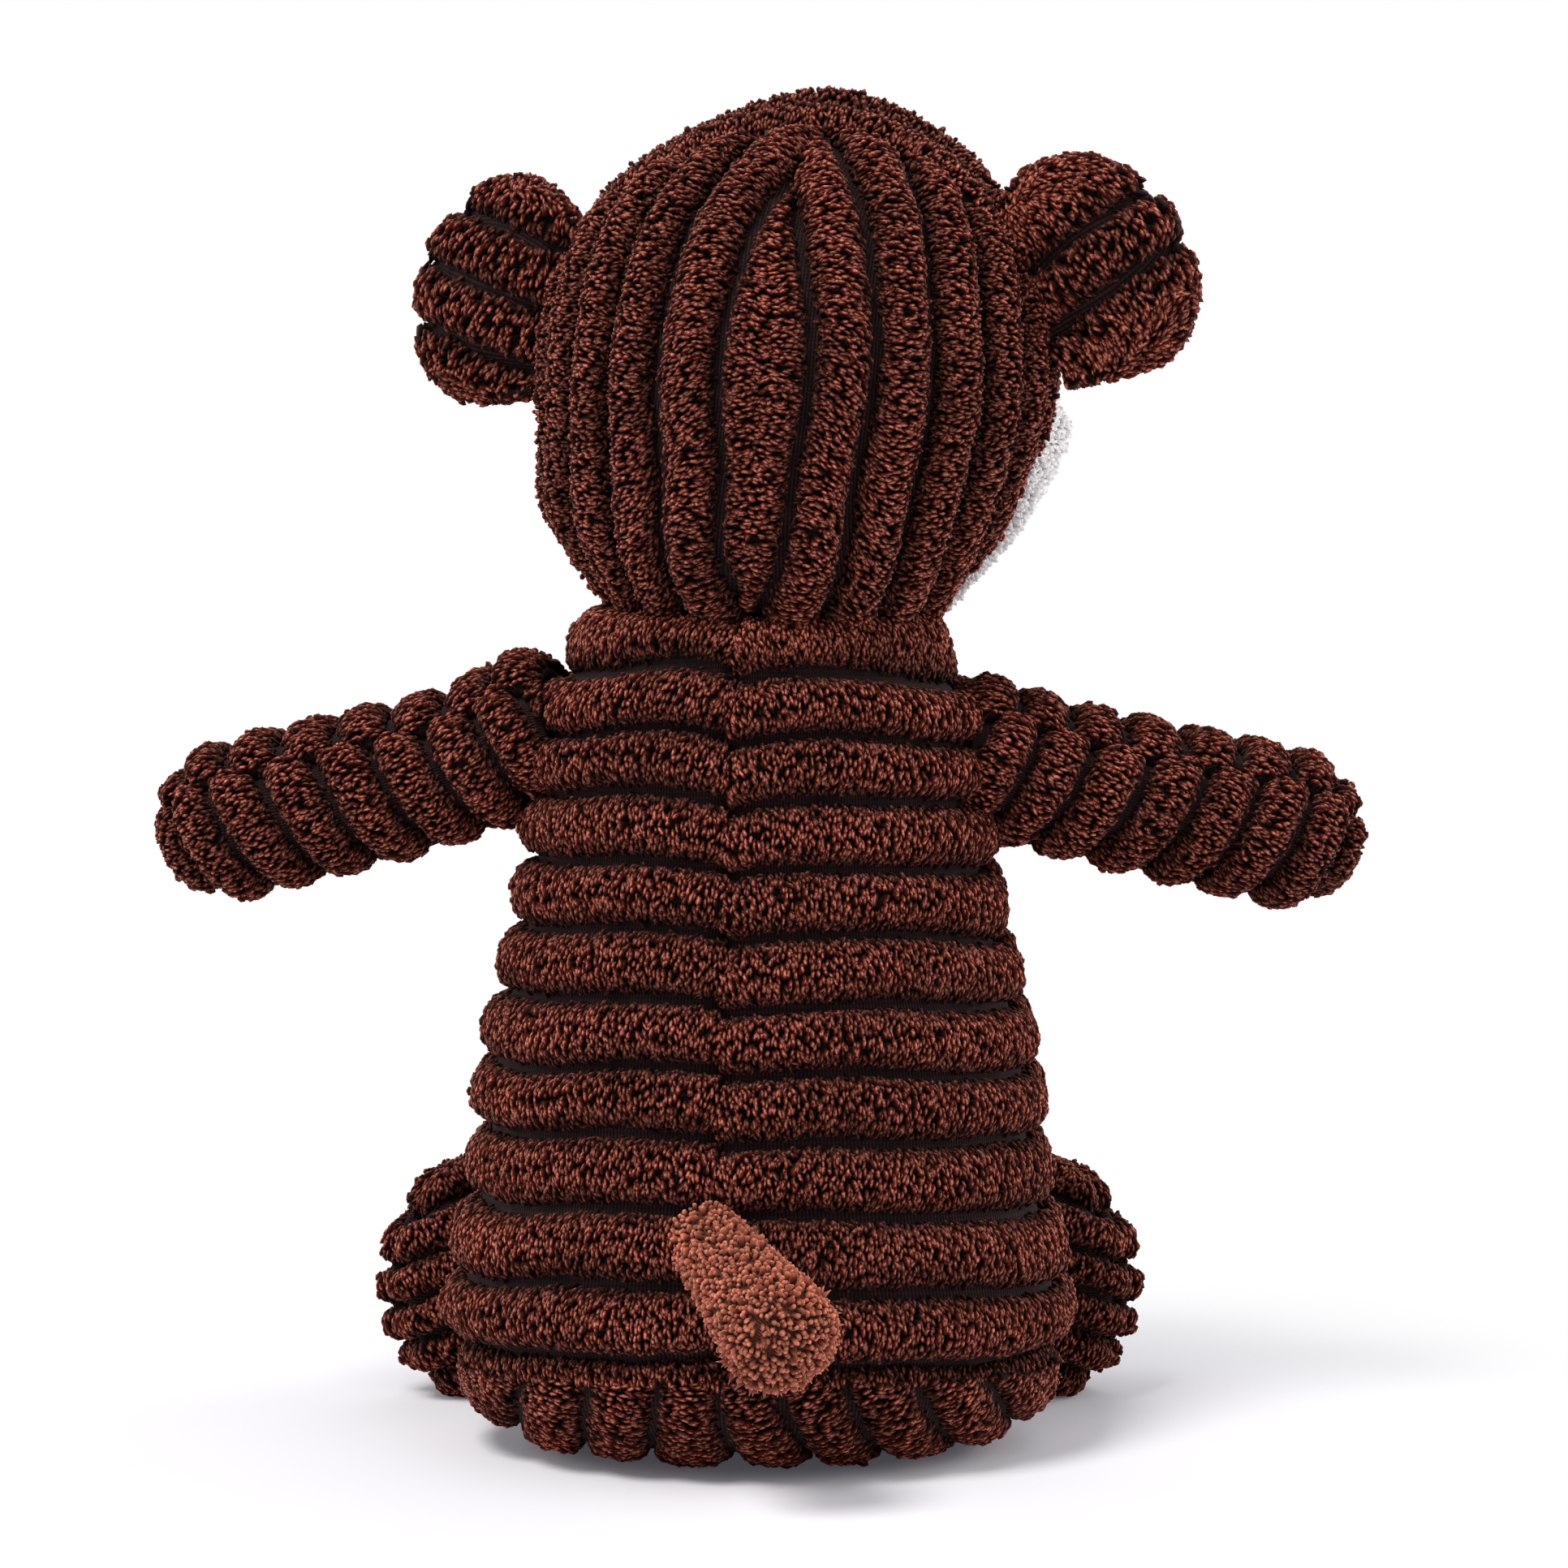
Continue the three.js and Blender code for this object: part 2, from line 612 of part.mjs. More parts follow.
function earMatrix(ear) {
  const tilt = new THREE.Euler(0, -ear.sign * degToRad(ear.lift), -ear.sign * degToRad(ear.bend));
  const turn = new THREE.Quaternion().setFromEuler(tilt);
  return new THREE.Matrix4().compose(earPlace(ear), turn, new THREE.Vector3(ear.sign, 1, 1));
}

function earSocket(ear) {
  const length = EAR_ROOT_HEIGHT + 2 * JOINT_GAP;
  const rod = new THREE.CylinderGeometry(1, 1, length, TURNED_SIDES);
  const radius = (EAR_ROOT_RADIUS + JOINT_GAP) / Math.cos(Math.PI / TURNED_SIDES);
  rod.scale(radius, 1, radius).rotateX(Math.PI / 2);
  const place = earPlace(ear);
  rod.applyMatrix4(new THREE.Matrix4().makeRotationY(-ear.sign * degToRad(ear.lift)));
  return solidOf(rod.translate(place.x, place.y, place.z));
}

function makeHead() {
  const neckBore = new THREE.CylinderGeometry(NECK_OPENING_RADIUS, NECK_OPENING_RADIUS, FAR, TURNED_SIDES);
  const opening = solidOf(neckBore.rotateX(Math.PI / 2).translate(0, 0, -FAR / 2));
  const sockets = earSides.map(earSocket);
  const lining = headSmooth(COVER_THICKNESS, LINING_SIDES).add(opening);
  const trim = (solid) => sockets.reduce((rest, socket) => rest.subtract(socket), solid);
  const ribbedCover = trim(headRibbed().subtract(lining));
  const faceCover = trim(headSmooth(0, HEAD_SIDES).subtract(lining));
  const back = ribbedCover.intersect(headHalf({ y: [halfGap, FAR] }));
  const front = headHalf({ y: [-FAR, -halfGap] });
  addPiece(head, "head_back_left", back.intersect(solidOf(block({ x: [halfGap, FAR] }))), corduroy);
  addPiece(head, "head_back_right", back.intersect(solidOf(block({ x: [-FAR, -halfGap] }))), corduroy);
  addPiece(head, "head_hood", ribbedCover.intersect(front).subtract(faceOutline(halfGap)), corduroy);
  addPiece(head, "face_panel", faceCover.intersect(front).intersect(faceOutline(-halfGap)), facePlush);
  const filling = trim(headSmooth(COVER_THICKNESS + SEAM_GAP, LINING_SIDES));
  addPiece(head, "head_filling", filling, fibre);
}

function makeFace() {
  const skin = headSmooth(-SEAM_GAP, HEAD_SIDES);
  addPiece(head, "muzzle_panel", muzzleForm(0).subtract(skin), facePlush);
  const trim = SEAM_GAP + FACE_TRIM_THICKNESS;
  const eyeSkin = headSmooth(-trim, HEAD_SIDES).subtract(skin);
  for (const { side, sign } of earSides) {
    const eye = ellipseBar(sign * EYE_SPREAD, HEAD_RISE + EYE_RISE, EYE_WIDTH, EYE_HEIGHT);
    addPiece(head, `eye_${side}`, eyeSkin.intersect(eye), embroidery);
  }
  const muzzleSkin = muzzleForm(trim).subtract(muzzleForm(SEAM_GAP)).subtract(skin);
  const nose = ellipseBar(0, muzzleMiddle.z + NOSE_RISE, NOSE_WIDTH, NOSE_HEIGHT);
  addPiece(head, "nose", muzzleSkin.intersect(nose), embroidery);
  const mouth = mouthBar(muzzleMiddle.z - MOUTH_DROP + MOUTH_RADIUS / 2);
  addPiece(head, "mouth_stitch", muzzleSkin.intersect(mouth), embroidery);
}

function makeEar(ear) {
  const group = new THREE.Group();
  earMatrix(ear).decompose(group.position, group.quaternion, group.scale);
  head.add(group);
  const form = earForm();
  const back = solidOf(block({ y: [halfGap, FAR] }));
  const front = solidOf(block({ y: [-FAR, -halfGap] }));
  addPiece(group, `ear_${ear.side}_back`, form.intersect(back), corduroy);
  addPiece(group, `ear_${ear.side}_front`, form.intersect(front), corduroy);
}

// Arms, legs and tail

const limbSides = [
  { side: "left", sign: 1 },
  { side: "right", sign: -1 },
];

// Turned group at a limb's turning point, mirrored for the right side.
function limbGroup(sign, pivot, slope, turn) {
  const group = new THREE.Group();
  group.position.copy(pivot);
  group.rotation.set(0, slope, turn, "ZYX");
  const half = new THREE.Group();
  half.scale.x = sign;
  half.add(group);
  toy.add(half);
  return group;
}

function makeArm({ side, sign }) {
  const group = limbGroup(sign, shoulder, degToRad(ARM_SLOPE), -degToRad(ARM_SWEEP));
  const cover = armOuter().subtract(armInner(COVER_THICKNESS));
  const back = solidOf(block({ y: [halfGap, FAR] }));
  const front = solidOf(block({ y: [-FAR, -halfGap] }));
  addPiece(group, `arm_${side}_back`, cover.intersect(back), corduroy);
  addPiece(group, `arm_${side}_front`, cover.intersect(front), corduroy);
  addPiece(group, `arm_${side}_filling`, armInner(COVER_THICKNESS + SEAM_GAP), fibre);
}

function makeLeg({ side, sign }) {
  const group = limbGroup(sign, hip, 0, legTurn);
  const soleStart = LEG_LENGTH - SOLE_THICKNESS;
  const beyond = (along) => solidOf(block({ x: [along, FAR] }));
  const form = legForm(0);
  const cover = form.subtract(legForm(COVER_THICKNESS)).subtract(beyond(soleStart - halfGap));
  const filling = legForm(COVER_THICKNESS + SEAM_GAP).subtract(beyond(soleStart - halfGap));
  addPiece(group, `leg_${side}_cover`, cover, corduroy);
  addPiece(group, `foot_${side}_sole`, form.intersect(beyond(soleStart + halfGap)), corduroy);
  addPiece(group, `leg_${side}_filling`, filling, fibre);
}

function makeTail() {
  const group = limbGroup(1, tailRoot, degToRad(TAIL_DROOP), degToRad(90 + TAIL_SIDE));
  const openRoot = solidOf(block({ x: [-FAR, -TAIL_OPENING] }));
  const cover = tailForm(0).subtract(tailForm(COVER_THICKNESS)).subtract(openRoot);
  addPiece(group, "tail_cover", cover, tailPlush);
  addPiece(group, "tail_filling", tailForm(COVER_THICKNESS + SEAM_GAP), fibre);
}

// Torso covers, filling and squeaker

const squeakerMiddle = torsoSection(SQUEAKER_HEIGHT).middle;
const squeakerFront = squeakerMiddle - SQUEAKER_FRONT;
const cupFront = squeakerFront + SQUEAKER_DOME_STAND;
const skirtDepth = SQUEAKER_DOME_DEPTH - SQUEAKER_DOME_STAND + SQUEAKER_TRAVEL + SEAM_GAP;
const cupBack = cupFront + skirtDepth + SQUEAKER_CORNER + SQUEAKER_WALL;
const domeRadius = SQUEAKER_RADIUS - SQUEAKER_WALL - SEAM_GAP;

// Revolved about a line along Y through the squeaker, from [radius, y] pairs.
function turnedOnSqueaker(pairs) {
  const profile = pairs.map(([radius, y]) => new THREE.Vector2(radius, y));
  const turned = new THREE.LatheGeometry(profile, TURNED_SIDES);
  return solidOf(turned.translate(0, 0, SQUEAKER_HEIGHT));
}

function rodOnSqueaker(radius, from, to) {
  return turnedOnSqueaker([[0, from], [radius, from], [radius, to], [0, to]]);
}

function torsoSockets() {
  const gap = (radius) => (radius + JOINT_GAP) / Math.cos(Math.PI / BALL_SIDES);
  head.updateMatrixWorld(true);
  return [
    headSweep().applyMatrix4(head.matrixWorld),
    ball(gap(ARM_ROOT_RADIUS), shoulder),
    ball(gap(ARM_ROOT_RADIUS), mirrored(shoulder)),
    ball(gap(LEG_ROOT_RADIUS), hip),
    ball(gap(LEG_ROOT_RADIUS), mirrored(hip)),
    ball(gap(TAIL_ROOT_RADIUS), tailRoot),
  ].map(solidOf);
}

function makeTorso() {
  const sockets = torsoSockets();
  const trim = (solid) => sockets.reduce((rest, socket) => rest.subtract(socket), solid);
  const cover = trim(torsoOuter().subtract(torsoInner(COVER_THICKNESS)));
  const lean = new THREE.Matrix4().makeShear(0, 0, 0, 0, 0, -TORSO_LEAN / TORSO_HEIGHT);
  const half = (limits) => solidOf(block(limits).applyMatrix4(lean));
  const above = solidOf(block({ z: [SEAT_SEAM_HEIGHT + halfGap, FAR] }));
  const below = solidOf(block({ z: [-FAR, SEAT_SEAM_HEIGHT - halfGap] }));
  const upper = cover.intersect(above);
  const back = upper.intersect(half({ y: [halfGap, FAR] }));
  const leftHalf = solidOf(block({ x: [BACK_SEAM_SHIFT + halfGap, FAR] }));
  const rightHalf = solidOf(block({ x: [-FAR, BACK_SEAM_SHIFT - halfGap] }));
  addPiece(toy, "torso_back_left", back.intersect(leftHalf), corduroy);
  addPiece(toy, "torso_back_right", back.intersect(rightHalf), corduroy);
  addPiece(toy, "torso_front", upper.intersect(half({ y: [-FAR, -halfGap] })), corduroy);
  addPiece(toy, "seat_panel", cover.intersect(below), corduroy);
  const filling = trim(torsoInner(COVER_THICKNESS + SEAM_GAP));
  const pocket = rodOnSqueaker(SQUEAKER_RADIUS + SEAM_GAP, squeakerFront - SEAM_GAP, FAR);
  addPiece(toy, "torso_filling", filling.subtract(pocket), fibre);
  const wadFront = cupBack + REED_FLANGE_THICKNESS + 2 * SEAM_GAP;
  const wad = filling.intersect(rodOnSqueaker(SQUEAKER_RADIUS, wadFront, FAR));
  addPiece(toy, "filling_wad", wad, fibre);
}

function makeSqueaker() {
  const bore = SQUEAKER_RADIUS - SQUEAKER_WALL;
  const hole = REED_TUBE_RADIUS + SEAM_GAP;
  addPiece(toy, "squeaker_cup", turnedOnSqueaker([
    [bore, cupFront],
    [SQUEAKER_RADIUS, cupFront],
    [SQUEAKER_RADIUS, cupBack - SQUEAKER_CORNER],
    [SQUEAKER_RADIUS - SQUEAKER_CORNER, cupBack],
    [hole, cupBack],
    [hole, cupBack - SQUEAKER_WALL],
    [bore - SQUEAKER_CORNER, cupBack - SQUEAKER_WALL],
    [bore, cupBack - SQUEAKER_WALL - SQUEAKER_CORNER],
    [bore, cupFront],
  ]), clearPlastic);
  const domeBack = squeakerFront + SQUEAKER_DOME_DEPTH;
  const domeBore = domeRadius - SQUEAKER_WALL;
  addPiece(toy, "squeaker_dome", turnedOnSqueaker([
    [0, squeakerFront],
    [domeRadius - SQUEAKER_CORNER, squeakerFront],
    [domeRadius, squeakerFront + SQUEAKER_CORNER],
    [domeRadius, domeBack],
    [domeBore, domeBack],
    [domeBore, squeakerFront + SQUEAKER_WALL + SQUEAKER_CORNER],
    [domeBore - SQUEAKER_CORNER, squeakerFront + SQUEAKER_WALL],
    [0, squeakerFront + SQUEAKER_WALL],
  ]), clearPlastic);
  const flangeFront = cupBack + SEAM_GAP;
  const flangeBack = flangeFront + REED_FLANGE_THICKNESS;
  const tubeFront = flangeBack - REED_TUBE_LENGTH;
  addPiece(toy, "reed_tube", turnedOnSqueaker([
    [REED_TUBE_BORE, tubeFront],
    [REED_TUBE_RADIUS, tubeFront],
    [REED_TUBE_RADIUS, flangeFront],
    [REED_FLANGE_RADIUS, flangeFront],
    [REED_FLANGE_RADIUS, flangeBack],
    [REED_TUBE_BORE, flangeBack],
    [REED_TUBE_BORE, tubeFront],
  ]), clearPlastic);
  const reedHalf = Math.sqrt((REED_TUBE_BORE - SEAM_GAP) ** 2 - REED_THICKNESS ** 2);
  addPiece(toy, "reed", solidOf(block({
    x: [-reedHalf, reedHalf],
    y: [tubeFront, flangeBack - REED_FLANGE_THICKNESS],
    z: [SQUEAKER_HEIGHT - REED_THICKNESS / 2, SQUEAKER_HEIGHT + REED_THICKNESS / 2],
  })), clearPlastic);
}

makeTorso();
makeSqueaker();
makeHead();
makeFace();
earSides.forEach(makeEar);
limbSides.forEach(makeArm);
limbSides.forEach(makeLeg);
makeTail();

export default toy;
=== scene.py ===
"""Plush monkey dog toy seen from behind: wide-wale pile cloth, a curly tail and a white face."""
import json
import math

import bpy
import numpy as np
from mathutils import Matrix, Vector
from mathutils.kdtree import KDTree


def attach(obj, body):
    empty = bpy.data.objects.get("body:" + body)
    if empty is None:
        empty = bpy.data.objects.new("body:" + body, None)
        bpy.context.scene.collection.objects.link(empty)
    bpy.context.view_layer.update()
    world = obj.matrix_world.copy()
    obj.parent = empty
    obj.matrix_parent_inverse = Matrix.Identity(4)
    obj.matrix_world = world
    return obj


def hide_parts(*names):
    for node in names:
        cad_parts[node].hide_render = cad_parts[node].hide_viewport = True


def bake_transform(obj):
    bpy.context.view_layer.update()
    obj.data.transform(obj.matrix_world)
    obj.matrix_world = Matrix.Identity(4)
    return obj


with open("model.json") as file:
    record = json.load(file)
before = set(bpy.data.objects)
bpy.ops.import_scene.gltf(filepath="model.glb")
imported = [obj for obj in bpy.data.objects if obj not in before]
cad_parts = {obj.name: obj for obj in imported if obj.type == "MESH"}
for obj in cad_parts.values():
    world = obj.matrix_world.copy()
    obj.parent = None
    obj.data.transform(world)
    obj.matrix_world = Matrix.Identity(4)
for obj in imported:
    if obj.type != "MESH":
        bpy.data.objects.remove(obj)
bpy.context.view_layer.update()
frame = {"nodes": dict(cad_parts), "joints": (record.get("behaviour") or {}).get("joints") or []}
rng = np.random.default_rng(5)

MM = 0.001  # shapes are worked out in millimetres
STEP = 0.3  # for slopes of the forms
BAKE_MAP = "OFBake"  # a map laid out for baking
WEAVE_MAP = "weave"  # millimetres along the cloth
SIDES = (("left", 1), ("right", -1))
HOLE = 0.04  # of a round panel's size that is left open at its middle

# Ribbed cloth
WALE_PITCH = 10.0
RIB_HEIGHT = 3.4  # from the woven groove to the top of the pile
GROOVE_HALF_WIDTH = 0.75
GROOVE_FLOOR = 0.2  # how far the cloth of a groove lies below the foot of its ribs
CORE_SHARE = 0.74  # of a rib's width that its woven core takes
CORE_PILE = 0.9  # of the pile's length, from its outside down to the core
PLAIN_PILE = 0.75  # the same on plush without ribs
PILE = 1.6
CLOTH = 1.2
CELL = 1.0
SEAM_SINK = 1.1
SEAM_REACH = 2.2
RIB_WOBBLE = 0.2  # how unevenly ribs run
LIMB_WOBBLE = 0.25
BAKE_EDGE = 0.01
BAKE_SIZE = (0.98, 0.47)  # of a cloth's outside in the bake map, and of its lining
BAKE_LINING = 0.51  # how much further up the map the lining is

# Tufts
TUFT_SPACING = 0.46
TUFT_TRIES = 0.48  # candidates' spacing, as a share of the tufts'
TUFT_STRETCH = 2.5  # a tuft on a rib is this much longer across the rib than along it
TUFT_SIDES = 6
TUFT_FOOT = 0.75  # of its girth, at its root
TUFT_SHOULDER = 0.84  # of its length, where a tuft begins to round off
TUFT_ROOT = 0.95  # of the pile's length, from its outside down to the roots
TUFT_UPRIGHT = 0.25  # how much tufts follow the panel's form rather than their rib's
SIZE_SPREAD = 0.15  # of the tufts' lengths and widths
TUFT_LENGTHS = (0.7, 1.45)  # the least and the most, as shares
TUFT_WIDTHS = (0.6, 1.5)
TUFT_TONES = (0.45, 1.7)
TONE_WAVES = 0.07
SIDE_SPREAD = 0.22  # of the direction in which they are wide
CLUMPS = np.array([[1.7, -0.6, 1.1], [-0.9, 1.5, 0.8], [0.7, 1.2, -1.6]])  # waves that lean tufts together
CLUMP_LEAN = 0.7
LONE_LEAN = 0.6
GROOVE_SHADE = 0.12  # painted shade: of the pile's brightness at the bottom of a groove
MOST_TUFTS = 9000  # in one mesh


def srgb(red, green, blue):
    """A colour from the usual 0 to 255 numbers, as the linear RGBA that shaders take."""
    share = np.array([red, green, blue]) / 255
    linear = np.where(share <= 0.04045, share / 12.92, ((share + 0.055) / 1.055) ** 2.4)
    return (*linear.tolist(), 1.0)


def smoothstep(x):
    x = np.clip(x, 0, 1)
    return x * x * (3 - 2 * x)


def between(x, start, full):
    """How far x is from start to full, smoothly from 0 to 1."""
    return smoothstep((x - start) / (full - start))


def band(height, middle, width):
    """A soft band that is 1 at its middle and fades to both sides."""
    return np.exp(-((height - middle) / width) ** 2)


def turn(axis, degrees):
    return np.array(Matrix.Rotation(math.radians(degrees), 3, axis))


def smooth_curve(knots):
    """A smooth curve through (place, value) knots."""
    places, values = np.array(knots, float).T
    slopes = np.gradient(values, places)

    def at(x):
        x = np.clip(x, places[0], places[-1])
        i = np.clip(np.searchsorted(places, x) - 1, 0, len(places) - 2)
        step = places[i + 1] - places[i]
        t = (x - places[i]) / step
        start = values[i] * (1 + 2 * t) * (1 - t) ** 2 + slopes[i] * step * t * (1 - t) ** 2
        return start + values[i + 1] * t * t * (3 - 2 * t) + slopes[i + 1] * step * t * t * (t - 1)

    return at


def wobble(points, size):
    """Slow waves, for ribs and tones that are never quite even."""
    x, y, z = points.T
    return size * (np.sin(0.21 * x + 0.11 * z + 1.3) + np.sin(0.17 * y - 0.23 * z + 0.4)
                   + np.sin(0.13 * x - 0.19 * y))


def columns(*parts):
    return np.stack(np.broadcast_arrays(*parts), axis=-1)


def unit(vectors):
    return vectors / np.maximum(np.linalg.norm(vectors, axis=-1, keepdims=True), 1e-9)


def grid(*counts):
    """The column and the row of each place of a grid."""
    return [cell.ravel() for cell in np.meshgrid(*(np.arange(count) for count in counts), indexing="ij")]


def quads(*corners):
    """Faces from the arrays of their first, second, third and fourth corners."""
    return np.stack(corners, axis=-1).reshape(-1, 4)


class Place:
    """A local frame: origin and three axes, which may be mirrored."""

    def __init__(self, origin, axes):
        self.origin, self.axes = np.array(origin, float), np.array(axes, float)

    def out(self, points):
        return self.origin + points @ self.axes.T

    def into(self, points):
        return (points - self.origin) @ self.axes


pivots = {joint["name"]: np.array(joint["pos_m"]) / MM for joint in frame["joints"] if "pos_m" in joint}


# Materials


def feed(tree, node, inputs):
    """Gives a node's inputs their values, or links them to the outputs of other nodes."""
    for key, value in inputs.items():
        if isinstance(value, bpy.types.NodeSocket):
            tree.links.new(value, node.inputs[key])
        else:
            node.inputs[key].default_value = value


def add(tree, kind, inputs=None, **settings):
    """A new shader node with its settings and inputs."""
    made = tree.nodes.new(f"ShaderNode{kind}")
    for key, value in settings.items():
        setattr(made, key, value)
    feed(tree, made, inputs or {})
    return made


def calculate(tree, operation, *values):
    return add(tree, "Math", dict(enumerate(values)), operation=operation).outputs[0]


def noise(tree, inputs, stretch=None):
    """Noise that stays in place on the object."""
    place = add(tree, "TexCoord").outputs["Object"]
    if stretch:
        place = add(tree, "Mapping", {"Vector": place, "Scale": stretch}).outputs["Vector"]
    return add(tree, "TexNoise", {"Vector": place, **inputs}).outputs["Fac"]


def remap(tree, value, **ends):
    """A value from one range in another; the ends are named as on the node, with _ for a space."""
    inputs = {key.replace("_", " "): end for key, end in ends.items()}
    return add(tree, "MapRange", {"Value": value, **inputs}).outputs["Result"]


def ramp(tree, value, *stops):
    """A colour that follows a value through stops of place and colour."""
    made = add(tree, "ValToRGB", {"Fac": value})
    elements = made.color_ramp.elements
    while len(elements) < len(stops):
        elements.new(0.5)
    for element, (place, colour) in zip(elements, stops):
        element.position, element.color = place, colour
    return made.outputs["Color"]


def relief(tree, height, strength, depth):
    return add(tree, "Bump", {"Height": height, "Strength": strength, "Distance": depth}).outputs["Normal"]


def new_material(name, constants):
    """A material, its node tree and its shader, with the shader's constant inputs."""
    material = bpy.data.materials.new(name)
    material.use_nodes = True
    tree = material.node_tree
    shader = tree.nodes["Principled BSDF"]
    feed(tree, shader, constants)
    return material, tree, shader


def pile_material(name, root, middle, upper, tip, sheen, sheen_colour):
    """Pile, with painted shade at its roots and a painted highlight at its tips: colour goes by rise up each
    tuft, and by the tuft's own tone and painted shade near the grooves.
    """
    grain = 0.3
    material, tree, shader = new_material(name, {"Specular IOR Level": 0.08, "Sheen Weight": sheen,
                                                 "Sheen Roughness": 0.45, "Sheen Tint": sheen_colour})
    rise, tone_and_shade = (add(tree, "Attribute", attribute_name=value).outputs["Fac"] for value in ("rise", "tone_and_shade"))
    fine = noise(tree, {"Scale": 2600.0, "Detail": 2.0})
    shifted = calculate(tree, "MULTIPLY_ADD", fine, grain, calculate(tree, "SUBTRACT", rise, grain / 2))
    # the near-black root stop is painted shade among the tufts, and the pale tip stop a painted highlight on
    # their ends
    colour = ramp(tree, shifted, (0.0, root), (0.66, middle), (0.88, upper), (1.0, tip))
    varied = add(tree, "HueSaturation", {"Value": tone_and_shade, "Color": colour})
    feed(tree, shader, {"Base Color": varied.outputs["Color"],
                        "Roughness": remap(tree, fine, To_Min=0.6, To_Max=0.85)})
    return material


def weave_material(name, dark, light):
    """Woven ground cloth, whose threads follow the piece's weave map."""
    warp_pitch, weft_pitch, weft_height = 0.62, 0.806, 0.35
    material, tree, shader = new_material(name, {"Roughness": 0.9, "Specular IOR Level": 0.2})
    uv = add(tree, "UVMap", uv_map=WEAVE_MAP).outputs["UV"]
    along = add(tree, "SeparateXYZ", {"Vector": uv}).outputs
    warp, weft = (calculate(tree, "SINE", calculate(tree, "MULTIPLY", along[axis], 2 * math.pi / pitch))
                  for axis, pitch in (("X", warp_pitch), ("Y", weft_pitch)))
    crossed = calculate(tree, "MULTIPLY_ADD", weft, weft_height, warp)
    level = remap(tree, crossed, From_Min=-1 - weft_height, From_Max=1 + weft_height)
    # painted shade: colour is darker where the threads dip between each other, with a random mottle from
    # noise
    thread_shade_and_mottle = calculate(tree, "MULTIPLY", level, noise(tree, {"Scale": 260.0, "Detail": 3.0}))
    feed(tree, shader, {"Base Color": ramp(tree, thread_shade_and_mottle, (0.1, dark), (0.65, light)),
                        "Normal": relief(tree, level, 0.6, 0.0002)})
    return material


def mottled_material(name, constants, grain, stops, stretch=None, bump=None, roughness=None):
    """A surface coloured by noise, which also gives it relief, or a roughness from low to high."""
    material, tree, shader = new_material(name, constants)
    mottle = noise(tree, grain, stretch)
    feed(tree, shader, {"Base Color": ramp(tree, mottle, *stops)})
    if bump:
        feed(tree, shader, {"Normal": relief(tree, mottle, *bump)})
    if roughness:
        feed(tree, shader, {"Roughness": remap(tree, mottle, To_Min=roughness[0], To_Max=roughness[1])})
    return material


# Colours from root to tip: the darkest is painted shade down among the tufts, the palest a painted highlight
# on their ends.
BROWN_PILE = pile_material("brown_pile", srgb(5, 0, 0), srgb(27, 2, 0), srgb(79, 21, 9), srgb(188, 116, 97),
                           0.05, srgb(255, 205, 190))
TAIL_PILE = pile_material("tail_pile", srgb(84, 34, 22), srgb(142, 72, 53), srgb(168, 96, 75),
                          srgb(205, 134, 110), 0.2, srgb(255, 205, 185))
# the tail end's darker root and middle colours are painted shade inside its open end
TAIL_END_PILE = pile_material("tail_end_pile", srgb(26, 3, 0), srgb(92, 40, 26), srgb(150, 80, 60),
                              srgb(210, 136, 112), 0.2, srgb(255, 205, 185))
WHITE_PILE = pile_material("white_pile", srgb(228, 225, 224), srgb(237, 235, 234), srgb(241, 239, 238),
                           srgb(246, 245, 244), 0.1, srgb(255, 255, 255))
# each weave's dark colour is painted shade in the hollows between its threads
BROWN_WEAVE = weave_material("brown_weave", srgb(12, 4, 5), srgb(60, 34, 34))
TAIL_WEAVE = weave_material("tail_weave", srgb(60, 28, 20), srgb(120, 70, 52))
WHITE_WEAVE = weave_material("white_weave", srgb(205, 202, 200), srgb(235, 232, 230))
THREAD = mottled_material(
    "black_thread", {"Roughness": 0.5, "Specular IOR Level": 0.25, "Sheen Weight": 0.04},
    {"Scale": 1500.0, "Detail": 4.0}, [(0.3, srgb(5, 4, 4)), (0.75, srgb(26, 22, 22))], bump=(0.4, 0.0002))
FIBRE = mottled_material(
    "fibre", {"Roughness": 0.8, "Sheen Weight": 0.3},
    {"Scale": 420.0, "Detail": 6.0, "Roughness": 0.7, "Distortion": 1.2},
    [(0.3, srgb(196, 193, 184)), (0.7, srgb(240, 238, 232))], stretch=(1.0, 1.0, 3.0), bump=(0.7, 0.001))
PLASTIC = mottled_material(
    "squeaker_plastic", {"Subsurface Weight": 0.2, "Subsurface Scale": 0.002}, {"Scale": 90.0, "Detail": 4.0},
    [(0.3, srgb(205, 210, 214)), (0.7, srgb(228, 232, 235))], roughness=(0.38, 0.52))


# Meshes


def linked(name, data):
    """A new object of the scene."""
    made = bpy.data.objects.new(name, data)
    bpy.context.scene.collection.objects.link(made)
    return made


